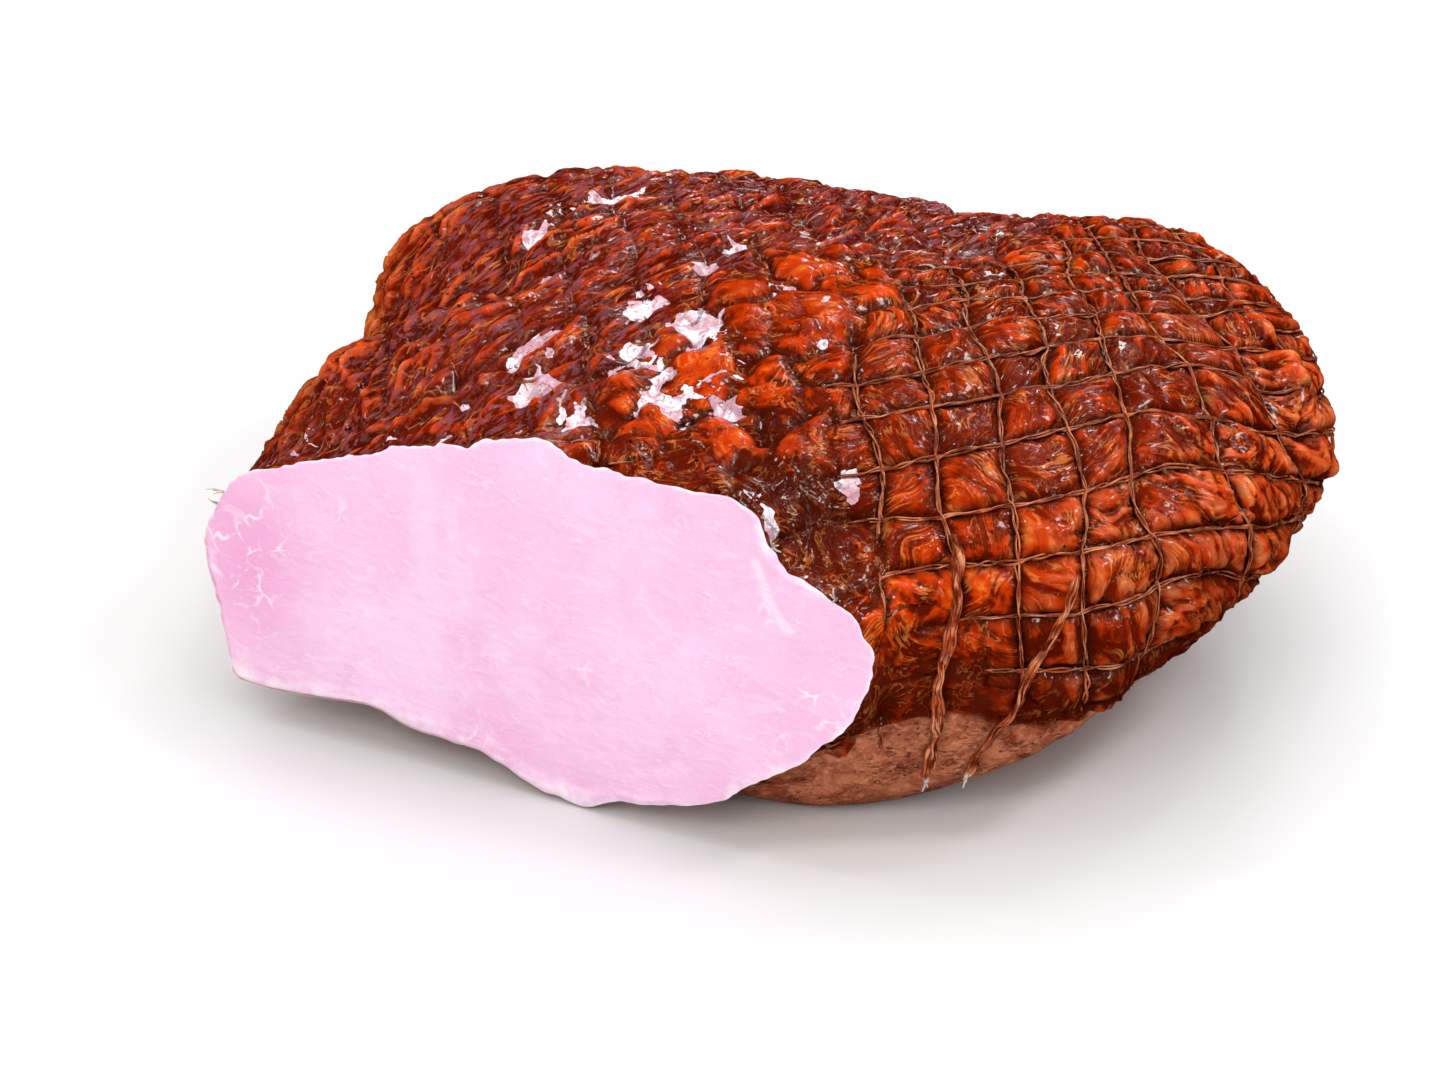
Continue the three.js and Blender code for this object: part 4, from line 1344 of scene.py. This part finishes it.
def make_net():
    """The net: hoops, strands, two loose ends, the gather and its tie."""
    hoops, strands = Yarns(), Yarns()
    for row in range(2, LAST_HOOP + 1):
        hoop(hoops, row)
    for column in range(STRANDS):
        path, normal = strand(strands, column)
        if column in FRAYED_STRANDS:
            out = path[0] - path[4]
            out[0] = max(out[0], -0.2 * np.linalg.norm(out))
            fray(strands, path[0] + 0.2 * normal[0], out, normal[0], FRAYED_STRANDS[column], 4.5)
    hoops.piece("net_hoops", [f"net_hoop_{k:02d}" for k in range(1, LAST_HOOP)])
    strands.piece("net_strands", [f"net_strand_{k:02d}" for k in range(1, STRANDS + 1)])
    for number, (route, ply) in enumerate(LOOSE_ENDS, 1):
        tail(number, route, ply)
    base, _ = on_skin(net_point(np.array([float(TIP_ROW)]), np.array([0.0])))
    make_gather(base[0])
    make_tie(base[0])


# The gather's outline: distance past the tip and radius, in millimetres.
GATHER_HEIGHTS = np.array([0, 2.2, 3.2, 4.2, 6.0, 7.4, 8.6, 9.9])
GATHER_RADII = np.array([4.6, 4.9, 4.9, 4.2, 4.2, 6.6, 7.2, 6.4])
GATHER_PLY = 0.75
TIE_HEIGHT = 5.1
TIE_RADIUS = 5.1
TIE_PLY = 0.5
TIE_TURNS = 3
TIE_SPREAD = 1.0  # of its turns, on each side of its middle
TIE_TWIST = 9  # turns of the plies round each other, for each turn round the gather


def ring_round_tip(turn):
    """Unit vectors square to the net's axis."""
    across = np.cross(UP, ALONG)
    return np.cos(turn)[:, None] * across + np.sin(turn)[:, None] * np.cross(ALONG, across)


def make_gather(base):
    """The strands drawn together past the tip and cut off."""
    gather = Yarns()
    count = STRANDS * 2
    for k in range(count):
        angle = (k + rng.uniform(-0.3, 0.3)) / count * 2 * np.pi
        layer = 1 - 0.45 * (k % 2)
        t = np.linspace(0, 1, 24)
        height = t * GATHER_HEIGHTS[-1] * rng.uniform(0.85, 1.0)
        radius = np.interp(height, GATHER_HEIGHTS, GATHER_RADII) * layer - 0.7
        ring = ring_round_tip(angle + 0.5 * t + 0.15 * np.sin(6 * t + k))
        path = base + height[:, None] * ALONG + radius[:, None] * ring
        gather.add(path, GATHER_PLY, frayed=0.7 * smoothstep(t, 0.8, 1.0))
    gather.piece("gathered_end", ["net_gather"])


def make_tie(base):
    """The cord wound round the gather."""
    tie = Yarns()
    t = np.linspace(0, 1, 160)
    turn = t * TIE_TURNS * 2 * np.pi
    ring = ring_round_tip(turn)
    height = TIE_HEIGHT + TIE_SPREAD * (2 * t - 1) + 0.15 * np.sin(3 * turn)
    middle = base + height[:, None] * ALONG + TIE_RADIUS * ring
    for ply in range(2):
        wind = TIE_TWIST * turn + ply * np.pi
        tie.add(middle + 0.4 * (np.cos(wind)[:, None] * ring + np.sin(wind)[:, None] * ALONG), TIE_PLY)
    tie.piece("tie_cord", ["net_tie"])


# ---- floor and light ----
FLOOR_REACH = 4000  # millimetres each way


def make_floor():
    material = Nodes("pale_floor").finish(rgb(222, 222, 222), 0.8)
    corners = [(-1, -1), (1, -1), (1, 1), (-1, 1)]
    points = np.array([(x * FLOOR_REACH, y * FLOOR_REACH, TABLE) for x, y in corners])
    floor = make_object("floor", points, [[0, 1, 2, 3]], material)
    floor.visible_glossy = False


def area_light(name, place, aim, size, watts, shines):
    """A rectangular light; one that does not shine lights the scene without showing in wet surfaces."""
    light = bpy.data.lights.new(name, "AREA")
    light.shape = "RECTANGLE"
    light.size, light.size_y = size
    light.energy = watts
    lamp = bpy.data.objects.new(name, light)
    scene.collection.objects.link(lamp)
    lamp.visible_glossy = shines
    lamp.location = place
    lamp.rotation_euler = (Vector(aim) - Vector(place)).to_track_quat("-Z", "Y").to_euler()


HAM_MIDDLE = (0, 0, 0.05)
LIGHTS = [  # name, place, aim, size, watts, whether it shines; in metres
    ("overhead", (0.1, 0.1, 1.4), HAM_MIDDLE, (1.4, 1.4), 5, False),
    ("far_floor", (1.6, 0.9, 1.2), (1.2, 0.6, 0), (2.0, 2.0), 12, False),
    ("backdrop", (1.5, 0.8, 0.75), HAM_MIDDLE, (1.2, 0.4), 2, False),
    ("front_left", (-1.3, -0.3, 0.95), HAM_MIDDLE, (0.9, 0.9), 11.5, False),
    ("right_high", (0.2, -1.0, 1.3), HAM_MIDDLE, (0.25, 0.25), 5, True),
    ("back_glint", (1.2, 0.1, 0.9), (0, 0, 0.1), (0.3, 0.1), 2, True),
]
GLINTS = [(-0.3, -1.3, 0.5), (-0.7, -0.8, 1.3), (0.6, -0.9, 1.0), (-0.3, 0.8, 1.4), (0.9, -0.4, 1.5)]
GLINT_SIZE = (0.08, 0.2)
GLINT_WATTS = 1.3


def light_room():
    """An even white room, dim near the floor and bright overhead, that doesn't show in wet surfaces."""
    world = bpy.data.worlds.new("room")
    scene.world = world
    world.use_nodes = True
    tree = world.node_tree
    background = tree.nodes["Background"]
    background.inputs["Color"].default_value = (1, 1, 1, 1)
    direction = tree.nodes.new("ShaderNodeTexCoord").outputs["Generated"]
    parts = tree.nodes.new("ShaderNodeSeparateXYZ")
    tree.links.new(direction, parts.inputs[0])
    rise = tree.nodes.new("ShaderNodeMapRange")
    tree.links.new(parts.outputs["Z"], rise.inputs["Value"])
    for socket, number in (("From Min", 0.0), ("From Max", 0.9), ("To Min", 0.06), ("To Max", 0.92)):
        rise.inputs[socket].default_value = number
    tree.links.new(rise.outputs["Result"], background.inputs["Strength"])
    world.cycles_visibility.glossy = False


def light_scene():
    scene.view_settings.view_transform = "Standard"
    light_room()
    for light in LIGHTS:
        area_light(*light)
    for k, place in enumerate(GLINTS):
        area_light(f"glint_{k}", place, HAM_MIDDLE, GLINT_SIZE, GLINT_WATTS, True)


# ---- putting it together ----
ham = make_ham()
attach(ham, "root")
make_net()
make_floor()
light_scene()

bpy.context.view_layer.update()
